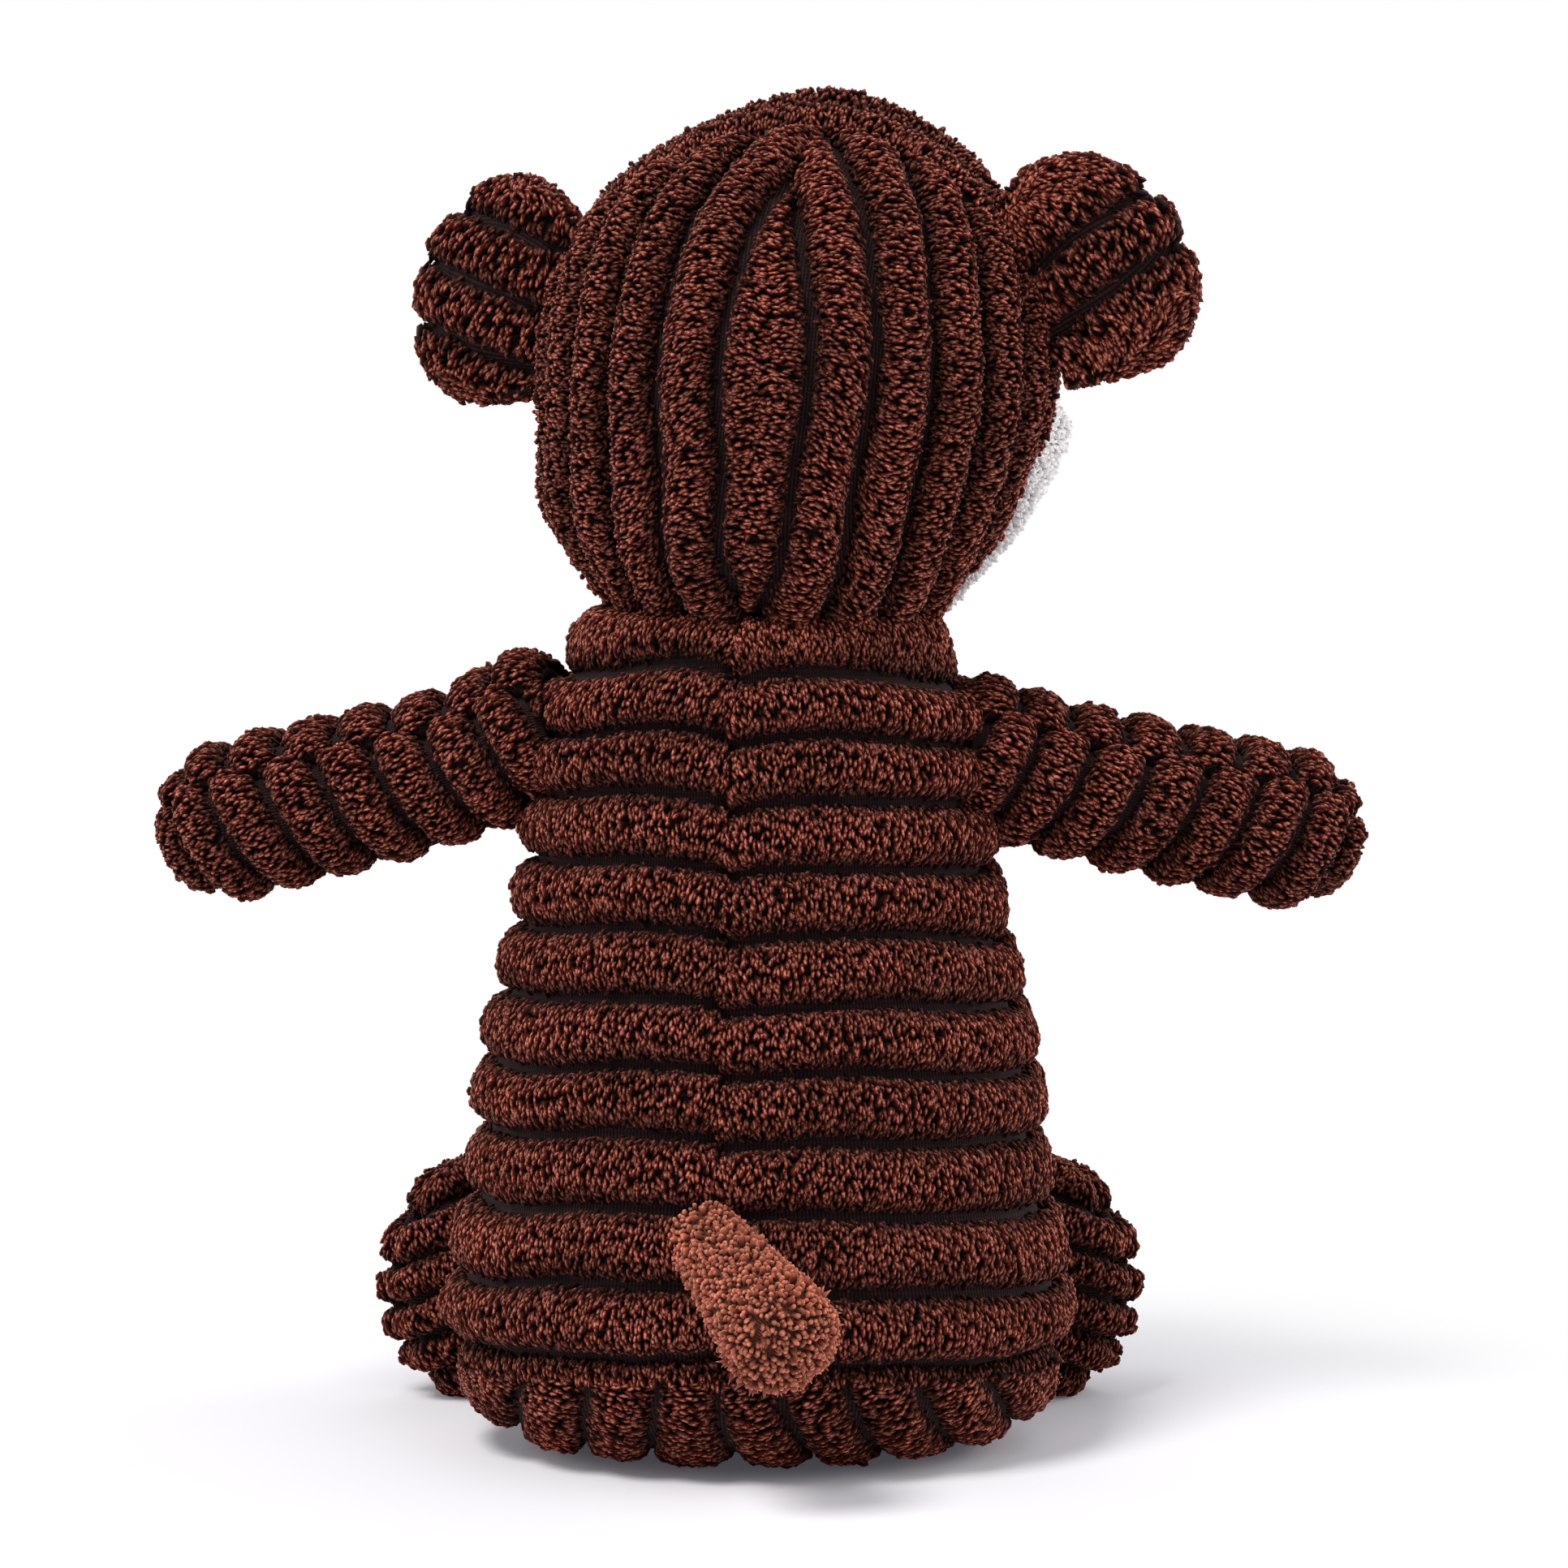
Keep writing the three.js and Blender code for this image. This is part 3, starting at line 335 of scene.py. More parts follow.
def new_object(name, points, groups, material, maps=(), attributes=()):
    """A smooth mesh object from points in millimetres and groups of faces, each an array of one face size."""
    mesh = bpy.data.meshes.new(name)
    corners = np.concatenate([group.ravel() for group in groups])
    sizes = np.concatenate([np.full(len(group), group.shape[1]) for group in groups])
    mesh.vertices.add(len(points))
    mesh.vertices.foreach_set("co", (points * MM).astype(np.float32).ravel())
    mesh.loops.add(len(corners))
    mesh.loops.foreach_set("vertex_index", corners.astype(np.int32))
    mesh.polygons.add(len(sizes))
    mesh.polygons.foreach_set("loop_start", (np.cumsum(sizes) - sizes).astype(np.int32))
    mesh.update(calc_edges=True)
    mesh.shade_smooth()
    for map_name, uv in maps:
        mesh.uv_layers.new(name=map_name).uv.foreach_set("vector", uv.astype(np.float32).ravel())
    for attribute_name, values in attributes:
        made = mesh.attributes.new(attribute_name, "FLOAT", "POINT")
        made.data.foreach_set("value", values.astype(np.float32))
    mesh.materials.append(material)
    return linked(name, mesh)


def rib_profile(share):
    """Height of a rounded rib, from 1 on its middle to 0 at its edges."""
    return np.maximum(1 - np.abs(share) ** 2.2, 0) ** 0.5


class Panel:
    """One sewn piece of pile cloth.

    form(u, v) gives the outside of the pile for u and v from 0 to 1, with the outside where u turns to v by
    the right hand. span is the cloth's size along u and v. across(points, u, v) is how far a point lies
    across the ribs, with a groove at each whole pitch; without it the cloth is plain plush. sewn names the
    sides, of u0 u1 v0 v1, that a seam draws in. beyond is a plane, as a point and a normal, that the cloth
    stays in front of. hidden(points) says which tufts are left out.
    """

    def __init__(self, form, span, across=None, pitch=WALE_PITCH, closed=False, sewn=(), pile=PILE,
                 rib=RIB_HEIGHT, groove=GROOVE_HALF_WIDTH, beyond=None, hidden=None):
        self.form, self.span, self.across, self.pitch = form, span, across, pitch
        self.closed, self.sewn, self.pile, self.beyond, self.hidden = closed, sewn, pile, beyond, hidden
        self.rib, self.groove = rib if across else 0.0, groove

    def slopes(self, u, v, of):
        """How fast a function of u and v changes along each."""
        du, dv = STEP / self.span[0], STEP / self.span[1]
        return (of(u + du, v) - of(u - du, v)) / (2 * du), (of(u, v + dv) - of(u, v - dv)) / (2 * dv)

    def normals(self, u, v, form):
        return unit(np.cross(*self.slopes(u, v, form)))

    def place_across(self, u, v):
        return self.across(self.form(u, v), u, v)

    def off_middle(self, u, v):
        """Distance across the ribs from the middle of the nearest one."""
        return self.place_across(u, v) % self.pitch - self.pitch / 2

    def width_share(self, u, v):
        """Distance from the middle of the rib as a share of half its width; above 1 is groove."""
        if self.across is None:
            return np.zeros_like(u)
        return np.abs(self.off_middle(u, v)) / (self.pitch / 2 - self.groove)

    def up_rib(self, u, v):
        """Direction across the ribs on the surface, or None on plain plush."""
        if self.across is None:
            return None
        along_u, along_v = self.slopes(u, v, self.form)
        slope_u, slope_v = self.slopes(u, v, self.place_across)
        size_u, size_v = (np.maximum(np.linalg.norm(along, axis=1), 1e-6) for along in (along_u, along_v))
        return unit(along_u * (slope_u / size_u ** 2)[:, None] + along_v * (slope_v / size_v ** 2)[:, None])

    def sink(self, u, v):
        """How deep the seams draw the cloth in."""
        depth = np.zeros_like(u)
        away = {"u0": u * self.span[0], "u1": (1 - u) * self.span[0],
                "v0": v * self.span[1], "v1": (1 - v) * self.span[1]}
        for side in self.sewn:
            depth = np.maximum(depth, SEAM_SINK * np.exp(-(np.maximum(away[side], 0) / SEAM_REACH) ** 2))
        return depth

    def lowered(self, u, v, depth):
        return self.keep_in_front(self.form(u, v) - self.normals(u, v, self.form) * depth[:, None])

    def envelope(self, u, v):
        """The outside of the pile, with its ribs, grooves and drawn-in seams."""
        return self.lowered(u, v, self.rib * (1 - rib_profile(self.width_share(u, v))) + self.sink(u, v))

    def ground(self, u, v):
        """The woven cloth: the bottom of the grooves, and a core in each rib."""
        if self.across is None:
            return self.lowered(u, v, PLAIN_PILE * self.pile + self.sink(u, v))
        core = (self.rib - CORE_PILE * self.pile) * rib_profile(self.width_share(u, v) / CORE_SHARE)
        return self.lowered(u, v, self.rib + GROOVE_FLOOR - core + self.sink(u, v))

    def lining(self, u, v):
        """The inside of the cloth, below its grooves."""
        return self.lowered(u, v, max(self.rib, self.pile) + CLOTH + self.sink(u, v))

    def keep_in_front(self, points):
        if self.beyond is None:
            return points
        point, normal = self.beyond
        short = np.minimum((points - point) @ normal, 0)
        return points - short[:, None] * normal


def cloth(name, panel, material):
    """The woven ground of a panel as a closed shell."""
    nu, nv = (round(length / CELL) for length in panel.span)
    u_count = nu if panel.closed else nu + 1
    column, row = grid(u_count, nv + 1)
    u, v = column / nu, row / nv
    at = np.arange(u.size).reshape(u_count, nv + 1)
    under = at + at.size
    i, j = grid(nu, nv)
    after = (i + 1) % u_count
    rim = np.arange(nu)
    rim_after = (rim + 1) % u_count
    faces = [quads(at[i, j], at[after, j], at[after, j + 1], at[i, j + 1]),
             quads(under[i, j], under[i, j + 1], under[after, j + 1], under[after, j]),
             quads(at[rim, 0], under[rim, 0], under[rim_after, 0], at[rim_after, 0]),
             quads(at[rim, nv], at[rim_after, nv], under[rim_after, nv], under[rim, nv])]
    if not panel.closed:
        end = np.arange(nv)
        faces += [quads(at[0, end], at[0, end + 1], under[0, end + 1], under[0, end]),
                  quads(at[nu, end], under[nu, end], under[nu, end + 1], at[nu, end + 1])]
    corners = np.concatenate(faces)
    corner_u, corner_v = u[corners % at.size], v[corners % at.size]
    if panel.closed:
        closing = np.ptp(corner_u, axis=1) > 0.5
        corner_u = corner_u + (closing[:, None] & (corner_u == 0))
    lining = corners >= at.size
    bake = columns(BAKE_EDGE + BAKE_SIZE[0] * corner_u,
                   BAKE_EDGE + BAKE_SIZE[1] * corner_v + BAKE_LINING * lining)
    weave = columns(corner_u * panel.span[0], corner_v * panel.span[1])
    points = np.concatenate([panel.ground(u, v), panel.lining(u, v)])
    return new_object(name, points, faces, material, [(BAKE_MAP, bake), (WEAVE_MAP, weave)])


def spread_out(points, spacing):
    """Indices of points that keep a distance from each other, picked in random order."""
    tree = KDTree(len(points))
    for index, point in enumerate(points):
        tree.insert(point, index)
    tree.balance()
    free = np.ones(len(points), bool)
    picked = []
    for index in rng.permutation(len(points)):
        if free[index]:
            picked.append(index)
            free[[near[1] for near in tree.find_range(points[index], spacing)]] = False
    return np.array(sorted(picked))


def tuft_places(panel, spacing):
    """The u and v of a panel's tufts, evenly spread over its ribs."""
    counts = [round(length / (spacing * TUFT_TRIES)) for length in panel.span]
    u, v = ((cell + rng.random(cell.size)) / count for cell, count in zip(grid(*counts), counts))
    keep = panel.width_share(u, v) < 1
    if panel.hidden:
        keep &= ~panel.hidden(panel.form(u, v))
    u, v = u[keep], v[keep]
    squeezed = panel.envelope(u, v)
    if panel.across:
        squeezed -= (1 - 1 / TUFT_STRETCH) * panel.off_middle(u, v)[:, None] * panel.up_rib(u, v)
    picked = spread_out(squeezed, spacing)
    return u[picked], v[picked]


def uneven(shape, least, most):
    """Random sizes about 1."""
    return np.clip(1 + SIZE_SPREAD * rng.standard_normal(shape), least, most)


def tuft_points(panel, u, v, spacing, lean, fat, shoulder):
    """The roots of tufts, and each one's points: a ring at its foot, a ring at its shoulder and its tip."""
    count = len(u)
    outside = panel.envelope(u, v)
    normal = unit(panel.normals(u, v, panel.envelope) + TUFT_UPRIGHT * panel.normals(u, v, panel.form))
    length = panel.pile * uneven(count, *TUFT_LENGTHS)
    root = outside - normal * (TUFT_ROOT * panel.pile)
    waves = np.sin(outside @ CLUMPS.T + np.arange(3))
    away = unit(normal + lean * (CLUMP_LEAN * waves + LONE_LEAN * rng.standard_normal((count, 3))))
    side = panel.up_rib(u, v)
    if side is None:
        side = rng.standard_normal((count, 3))
    side = unit(side + SIDE_SPREAD * rng.standard_normal((count, 3)))
    side = unit(side - away * (side * away).sum(axis=1)[:, None])
    other = np.cross(away, side)
    bend = lean / 2 * rng.standard_normal((count, 2))
    bend = (bend[:, :1] * side + bend[:, 1:] * other) * length[:, None]
    stretch = np.array([TUFT_STRETCH if panel.across else 1.0, 1])
    wide = spacing * fat * uneven((count, 2), *TUFT_WIDTHS) * stretch
    angle = np.arange(TUFT_SIDES) * 2 * math.pi / TUFT_SIDES
    round_about = (np.cos(angle)[None, :, None] * side[:, None] * wide[:, None, :1]
                   + np.sin(angle)[None, :, None] * other[:, None] * wide[:, None, 1:])
    middle = root + away * (length * shoulder)[:, None] + bend * shoulder ** 2
    tip = root + away * length[:, None] + bend
    points = np.concatenate([root[:, None] + round_about * TUFT_FOOT, middle[:, None] + round_about,
                             tip[:, None]], axis=1)
    return root, panel.keep_in_front(points.reshape(-1, 3)).reshape(points.shape)


def tuft_faces():
    """A tuft's walls, cap and base, each as faces and their corners in a square of the bake map."""
    k = np.arange(TUFT_SIDES)
    n = (k + 1) % TUFT_SIDES
    angle = k[::-1] * 2 * math.pi / TUFT_SIDES
    walls = quads(k, n, n + TUFT_SIDES, k + TUFT_SIDES)
    wall_uv = columns(quads(k, k + 1, k + 1, k) / TUFT_SIDES, np.array([0.25, 0.25, 0.65, 0.65]))
    cap = columns(k + TUFT_SIDES, n + TUFT_SIDES, 2 * TUFT_SIDES)
    cap_uv = columns(columns(k, k + 1, k + 0.5) / TUFT_SIDES, np.array([0.65, 0.65, 1.0]))
    base_uv = columns(0.5 + 0.09 * np.cos(angle), 0.1 + 0.09 * np.sin(angle))
    return (walls, wall_uv), (cap, cap_uv), (k[::-1][None], base_uv[None])


def tufts(name, panel, material, spacing=TUFT_SPACING, lean=0.26, fat=0.68, tone_spread=0.22,
          shoulder=TUFT_SHOULDER):
    """The pile of a panel: one small closed mesh for each tuft."""
    u, v = tuft_places(panel, spacing)
    root, points = tuft_points(panel, u, v, spacing, lean, fat, shoulder)
    count, per_tuft = points.shape[:2]
    tone_and_shade = 1 + tone_spread * rng.standard_normal(count) + wobble(root, TONE_WAVES)
    tone_and_shade = np.clip(tone_and_shade, *TUFT_TONES)
    # painted shade: tufts darken down the sides of their rib towards the grooves
    tone_and_shade *= GROOVE_SHADE + (1 - GROOVE_SHADE) * rib_profile(panel.width_share(u, v)) ** 1.6
    rise = np.array([0.0] * TUFT_SIDES + [shoulder] * TUFT_SIDES + [1.0])
    shapes = tuft_faces()
    made = []
    for first in range(0, count, MOST_TUFTS):
        some = slice(first, min(count, first + MOST_TUFTS))
        each = np.arange(some.stop - first)
        groups = [((each * per_tuft)[:, None, None] + face).reshape(-1, face.shape[1]) for face, _ in shapes]
        squares = math.ceil(math.sqrt(len(each)))
        square = columns(each % squares, each // squares)[:, None, None]
        uv = np.concatenate([((square + 0.06 + 0.88 * corners) / squares).reshape(-1, 2)
                             for _, corners in shapes])
        made.append(new_object(
            f"{name}_{len(made) + 1}", points[some].reshape(-1, 3), groups, material, [(BAKE_MAP, uv)],
            [("rise", np.tile(rise, len(each))), ("tone_and_shade", np.repeat(tone_and_shade[some], per_tuft))]))
    return made


def sew(name, panel, where, node=None, slot="corduroy", fill=0.8, materials=(BROWN_WEAVE, BROWN_PILE),
        **pile):
    """Makes a panel's cloth and pile in place of its CAD node, which has its name unless it is given.

    where is a body that the pieces go with; given the arguments of a blend instead, they stay in place on no
    body.
    """
    weave, hair = materials
    ground = cloth(f"{name}_cloth", panel, weave)
    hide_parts(node or name)
    for piece in [ground, *tufts(f"{name}_pile", panel, hair, **pile)]:
        if isinstance(where, str):
            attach(piece, where)
        else:
            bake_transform(piece)


def root_blend(body, limb, place, start, end):
    """The arguments of a blend from a body to a limb, between two distances along the limb."""
    near, far = (tuple(place.out(np.array([along, 0, 0])) * MM) for along in (start, end))
    return body, limb, near, far


# Torso

TORSO_TOP = 126.0
TORSO_LEAN = 10.0
TORSO_RADIUS = 44.0  # for the size of its cloth
TORSO_WIDTHS = [(12, 45.3), (21, 48), (32, 46.6), (44, 44.3), (57, 43.3), (70, 40.6), (82, 37.8), (94, 36.3),
                (112, 34.4), (121, 29.2), (126, 27.2)]
TORSO_DEPTHS = [(12, 38), (21, 40), (57, 36), (94, 31), (126, 28.5)]
TORSO_GROOVES = [(9.5, -1), (19.7, 0), (30.9, 1), (42.2, 2), (62.4, 4), (82.6, 6), (102, 8), (111.4, 9),
                 (121, 10), (140, 11)]  # heights at the back, and which groove
COLLAR_ROLL = 4.0
COLLAR_TUCK = 6.0
FROWN = 3.6  # how far ribs hang at the torso's sides
BACK_SEAM = 82.0  # degrees round the torso from the toy's left
BACK_RADIUS = 42.0
SEAM_DIP = 2.2  # how far ribs dip at the back seam, high on the back
SEAM_DIP_REACH = 9.0
SEAM_DIP_HEIGHTS = (45.0, 85.0)  # where the dip starts and is full
RIGHT_DROP = 1.4
SEAT_SEAM = 15.6
SEAT_SEAM_HANG = 3.4  # how much lower the seat's seam is at the sides
SEAT_SPAN = (2 * math.pi * 45, 54.0)
SEAT_FLAT = (15.0, 12.0)
SEAT_FLAT_SHARE = 0.35  # of the way from the seat's middle to its seam
SEAT_CURL = 1.7  # above 1 the seat curves more towards its seam
SEAT_FULLNESS = (0.48, 0.88)  # sideways and to the back; below 1 the seat's edge is fuller than an ellipse
SEAT_WALE_PITCH = 10.6
SEAT_GROOVE = 4.9
SEAT_SLANT = 0.4  # of the right ribs, sideways as they go down
SEAT_SLANT_SIDES = (14.0, -4.0)  # where the slant starts and is full
SEAT_SLANT_HEIGHT = 7.0
HIP = (48.0, 40.0)
HIP_HEIGHT = 21.0
FLOOR = (np.array([0, 0, 0.05]), np.array([0, 0, 1.0]))
STRAIGHT = TORSO_TOP - COLLAR_ROLL - SEAT_SEAM
TORSO_LENGTH = STRAIGHT + COLLAR_ROLL * math.pi / 2 + COLLAR_TUCK
LIMB_ROOTS = {"shoulder_left": 8.0, "shoulder_right": 8.0, "hip_left": 9.0, "hip_right": 9.0, "tail_wag": 6.0}
torso_width, torso_depth = smooth_curve(TORSO_WIDTHS), smooth_curve(TORSO_DEPTHS)
groove_count = smooth_curve(TORSO_GROOVES)


def torso_at(angle, along):
    """A point of the torso by degrees round it and the distance up from the seat's seam."""
    rolled = np.clip((along - STRAIGHT) / COLLAR_ROLL, 0, math.pi / 2)
    z = SEAT_SEAM + np.minimum(along, STRAIGHT) + COLLAR_ROLL * np.sin(rolled)
    tucked = COLLAR_ROLL * (1 - np.cos(rolled)) + np.maximum(along - STRAIGHT - COLLAR_ROLL * math.pi / 2, 0)
    a = np.radians(angle)
    x = (torso_width(z) - tucked) * np.cos(a)
    y = (torso_depth(z) - tucked) * np.sin(a) - TORSO_LEAN * z / TORSO_TOP
    return columns(x, y, z)


def in_limb(points):
    """Torso pile that would stand inside a limb's root."""
    inside = np.zeros(len(points), bool)
    for joint, radius in LIMB_ROOTS.items():
        inside |= np.linalg.norm(points - pivots[joint], axis=1) < radius
    return inside


def seam_hang(angle):
    return SEAT_SEAM_HANG * np.cos(np.radians(angle)) ** 2


def torso_panel(first, last, drop):
    """A panel between two angles round the torso. drop lowers its ribs, which dip at the back seam."""
    def angle(u):
        return first + (last - first) * u

    def along(u, v):
        return v * TORSO_LENGTH - (1 - v) * seam_hang(angle(u))

    def form(u, v):
        return torso_at(angle(u), along(u, v))

    def across(points, u, v):
        x, _, z = points.T
        frown = FROWN * np.minimum(np.abs(x) / torso_width(z), 1) ** 2
        dip = 0.0
        if drop is not None:
            off = np.abs(angle(u) - BACK_SEAM) * math.radians(1) * BACK_RADIUS
            dip = drop + SEAM_DIP * between(z, *SEAM_DIP_HEIGHTS) * np.exp(-off / SEAM_DIP_REACH)
        return WALE_PITCH * groove_count(SEAT_SEAM + along(u, v) + frown + dip + wobble(points, RIB_WOBBLE))

    return Panel(form, (math.radians(last - first) * TORSO_RADIUS, TORSO_LENGTH), across,
                 sewn=("u0", "u1", "v0"), hidden=in_limb)


def seat_at(u, v):
    """The underside, from its middle out to the seat's seam."""
    out = HOLE + (1 - HOLE) * np.minimum(v / SEAT_FLAT_SHARE, 1)
    seam = SEAT_SEAM - seam_hang(360 * u)
    past_flat = np.maximum(v - SEAT_FLAT_SHARE, 0) / (1 - SEAT_FLAT_SHARE)
    bend = past_flat ** SEAT_CURL * np.arccos(1 - seam / HIP_HEIGHT)
    z = HIP_HEIGHT * (1 - np.cos(bend))
    a = 2 * math.pi * u
    wide, deep = (out * low + (high - low) * np.sin(bend) ** power
                  for low, high, power in zip(SEAT_FLAT, HIP, SEAT_FULLNESS))
    return columns(wide * np.cos(a), deep * np.sin(a) - TORSO_LEAN * z / TORSO_TOP, z)


def seat_ribs(points, u, v):
    """Ribs from front to back; the outermost one on each side reaches up to the seam."""
    x, _, z = points.T
    slanted = x - SEAT_GROOVE + SEAT_SLANT * between(x, *SEAT_SLANT_SIDES) * (SEAT_SLANT_HEIGHT - z)
    return np.clip(slanted, -4.5 * SEAT_WALE_PITCH, 3.5 * SEAT_WALE_PITCH) + wobble(points, RIB_WOBBLE)


sew("torso_back_left", torso_panel(0, BACK_SEAM, 0.0), "torso")
sew("torso_back_right", torso_panel(BACK_SEAM, 180, RIGHT_DROP), "torso")
sew("torso_front", torso_panel(180, 360, None), "torso")
sew("seat", Panel(seat_at, SEAT_SPAN, seat_ribs, SEAT_WALE_PITCH, closed=True, sewn=("v1",), rib=1.9,
                  beyond=FLOOR, hidden=in_limb), "torso", "seat_panel")


# Head

HEAD_HALF = (39.5, 37.0, 40.7)
HEAD_RISE = 20.0  # of its middle above the neck's joint
HEAD_TURN = 8.0
HEAD_TILT = 4.0
HEAD_GROOVE_HALF_WIDTH = 0.85
HEAD_RADIUS = (40.0, 42.0)  # for the size of its cloth, across and from crown to neck
NECK_BALL = 30.0
NECK_BLEND = 1.5  # how softly the head goes over into the ball
JOWLS = (5.44, 1.6)  # how full the stuffing makes it low down, on the left and the right
JOWL_LEVEL = -0.63  # of the head's radius, and so below
NAPE = 7.0  # how far the head hangs over the collar at the back
NAPE_LEVEL = -0.72
LEVEL_SPREAD = 0.2
JOWL_SHIFT = 1.4  # to the left, low in the head
JOWL_SHIFT_HEIGHTS = (0.0, -25.0)  # where the shift starts and is full
CROWN_SHIFT = 3.0  # to the right
CROWN_SHIFT_HEIGHTS = (22.0, 42.0)
CROWN_LUMP = 1.6  # where the crown's panels meet
CROWN_LUMP_SPREAD = 0.03
CROWN_LEAN = 10.0
CROWN_SEAM = 12.0  # degrees behind the crown at which hood and back meet
GORE_RADIUS = 38.5
GORE_GROOVES = (13.6, 14.6)  # how far the first groove lies from the widest, left and right
GORE_ANGLE = 33.0  # degrees from straight back at which the ribs' planes lie
EAR_SIDE = 88.5  # degrees towards the ears that the head's panels reach
HEAD_END = 164.0  # degrees from the crown at which back and face end inside the collar
FACE_MEET = 177.0  # degrees in front of the crown at which they meet beside the neck
NECK_SIDES = (12.0, 32.0)  # degrees towards the ears over which the one goes over into the other
HOOD_LENGTH = 68.0
FACE_LENGTH = 85.0
CHEEKS = (0.2, 3.3)  # how full they are, left and right
CHEEK_SEAM = 4.5  # how far from its seams the cheek is full
CHEEK_AHEAD = -0.16  # of the head's radius
CHEEK_LEVEL = 0.1
CHEEK_FADE = 0.3
CHEEK_TOP = -1.5
BROW_TOP = 15.0
BROW_SPREAD = 13.0
BROW_DIP = 8.0
LOWEST_BROW = FACE_MEET - 1
MUZZLE_AT = np.array([0.0, -32.0, -15.0])
MUZZLE_HALF = np.array([21.0, 14.0, 14.0])
MUZZLE_RIM = -18.0  # degrees in front of its widest
MUZZLE_TIP = 88.0
MUZZLE_SPAN = (2 * math.pi * 18, 32.0)
FACE_LOOK = {"slot": "face_plush", "materials": (WHITE_WEAVE, WHITE_PILE), "spacing": TUFT_SPACING * 1.1,
             "tone_spread": 0.05}
head = Place(pivots["neck_turn"], turn("Y", -HEAD_TILT) @ turn("Z", -HEAD_TURN))
head_middle = np.array([0, 0, HEAD_RISE])


def head_radius(direction):
    """Distance from the head's middle to its outside: an egg, or the ball in the neck below it."""
    x, y, z = np.moveaxis(direction, -1, 0)
    egg = 1 / np.sqrt(((direction / np.array(HEAD_HALF)) ** 2).sum(axis=-1))
    down = HEAD_RISE * z
    ball = -down + np.sqrt(down ** 2 + NECK_BALL ** 2 - HEAD_RISE ** 2)
    jowl = np.where(x > 0, *JOWLS) * x ** 2 * band(z, JOWL_LEVEL, LEVEL_SPREAD)
    nape = NAPE * np.maximum(y, 0) ** 2 * band(z, NAPE_LEVEL, LEVEL_SPREAD)
    lump = CROWN_LUMP * np.exp((z - 1) / CROWN_LUMP_SPREAD)
    return NECK_BLEND * np.logaddexp(egg / NECK_BLEND, ball / NECK_BLEND) + jowl + lump + nape


def head_local(back, side):
    """A point of the head, from its middle, by degrees behind the crown and degrees towards the left ear."""
    b, s = np.radians(CROWN_LEAN + back), np.radians(side)
    direction = columns(np.sin(s), np.cos(s) * np.sin(b), np.cos(s) * np.cos(b))
    points = direction * head_radius(direction)[..., None]
    high = points[..., 2]
    shift = JOWL_SHIFT * between(high, *JOWL_SHIFT_HEIGHTS)
    shift = shift - CROWN_SHIFT * between(high, *CROWN_SHIFT_HEIGHTS)
    return points + columns(shift, 0, 0)


def head_out(points):
    return head.out(points + head_middle)


def head_in(points):
    return head.into(points) - head_middle


def head_end(side, meet):
    """Degrees from the crown at which back or face ends, by the degrees at which they meet."""
    return HEAD_END + (meet - HEAD_END) * between(np.abs(side), *NECK_SIDES)


def face_end(side):
    return head_end(side, FACE_MEET)


def gore_panel(sign):
    """The left or right half of the head's back, with ribs that fan from crown to neck."""
    first, last = (EAR_SIDE, 0.0) if sign > 0 else (0.0, -EAR_SIDE)

    def form(u, v):
        side = first + (last - first) * u
        return head_out(head_local(head_end(side, 360 - FACE_MEET) * (1 - v) + CROWN_SEAM * v, side))

    def across(points, u, v):
        local = head_in(points)
        lean = math.radians(GORE_ANGLE)
        outward = sign * local[:, 0] * math.cos(lean) - local[:, 1] * math.sin(lean)
        angle = np.arcsin(np.clip(outward / GORE_RADIUS, -1, 1))
        return GORE_RADIUS * angle + GORE_GROOVES[sign < 0] + wobble(points, RIB_WOBBLE)

    span = [math.radians(degrees) * radius for degrees, radius in zip((EAR_SIDE, HEAD_END), HEAD_RADIUS)]
    return Panel(form, span, across, sewn=("u1" if sign > 0 else "u0", "v0", "v1"),
                 groove=HEAD_GROOVE_HALF_WIDTH)


def brow(x):
    """Height of the hood's edge over the face, from the head's middle."""
    x = np.abs(x)
    inner = BROW_TOP - BROW_DIP * np.clip((BROW_SPREAD - x) / BROW_SPREAD, 0, 1) ** 2
    round_off = np.sqrt(np.clip(1 - ((x - BROW_SPREAD) / BROW_SPREAD) ** 2, 0, 1))
    return np.where(x < BROW_SPREAD, inner, CHEEK_TOP + (BROW_TOP - CHEEK_TOP) * round_off)


brow_sides = np.linspace(-EAR_SIDE - 4, EAR_SIDE + 4, 177)
brow_tries = np.linspace(20, LOWEST_BROW, 600)
tried = head_local(-brow_tries[None, :], brow_sides[:, None])
under_brow = tried[..., 2] < brow(tried[..., 0])
has_face = under_brow.any(axis=1)
brow_backs = np.where(has_face, brow_tries[under_brow.argmax(axis=1)], LOWEST_BROW)
face_sides = brow_sides[has_face]
FACE_REACH = min(face_sides.max(), -face_sides.min(), EAR_SIDE)  # degrees towards the ears


def brow_edge(side):
    return np.interp(side, brow_sides, brow_backs)


def crown_edge(side):
    return np.full_like(side, -CROWN_SEAM)


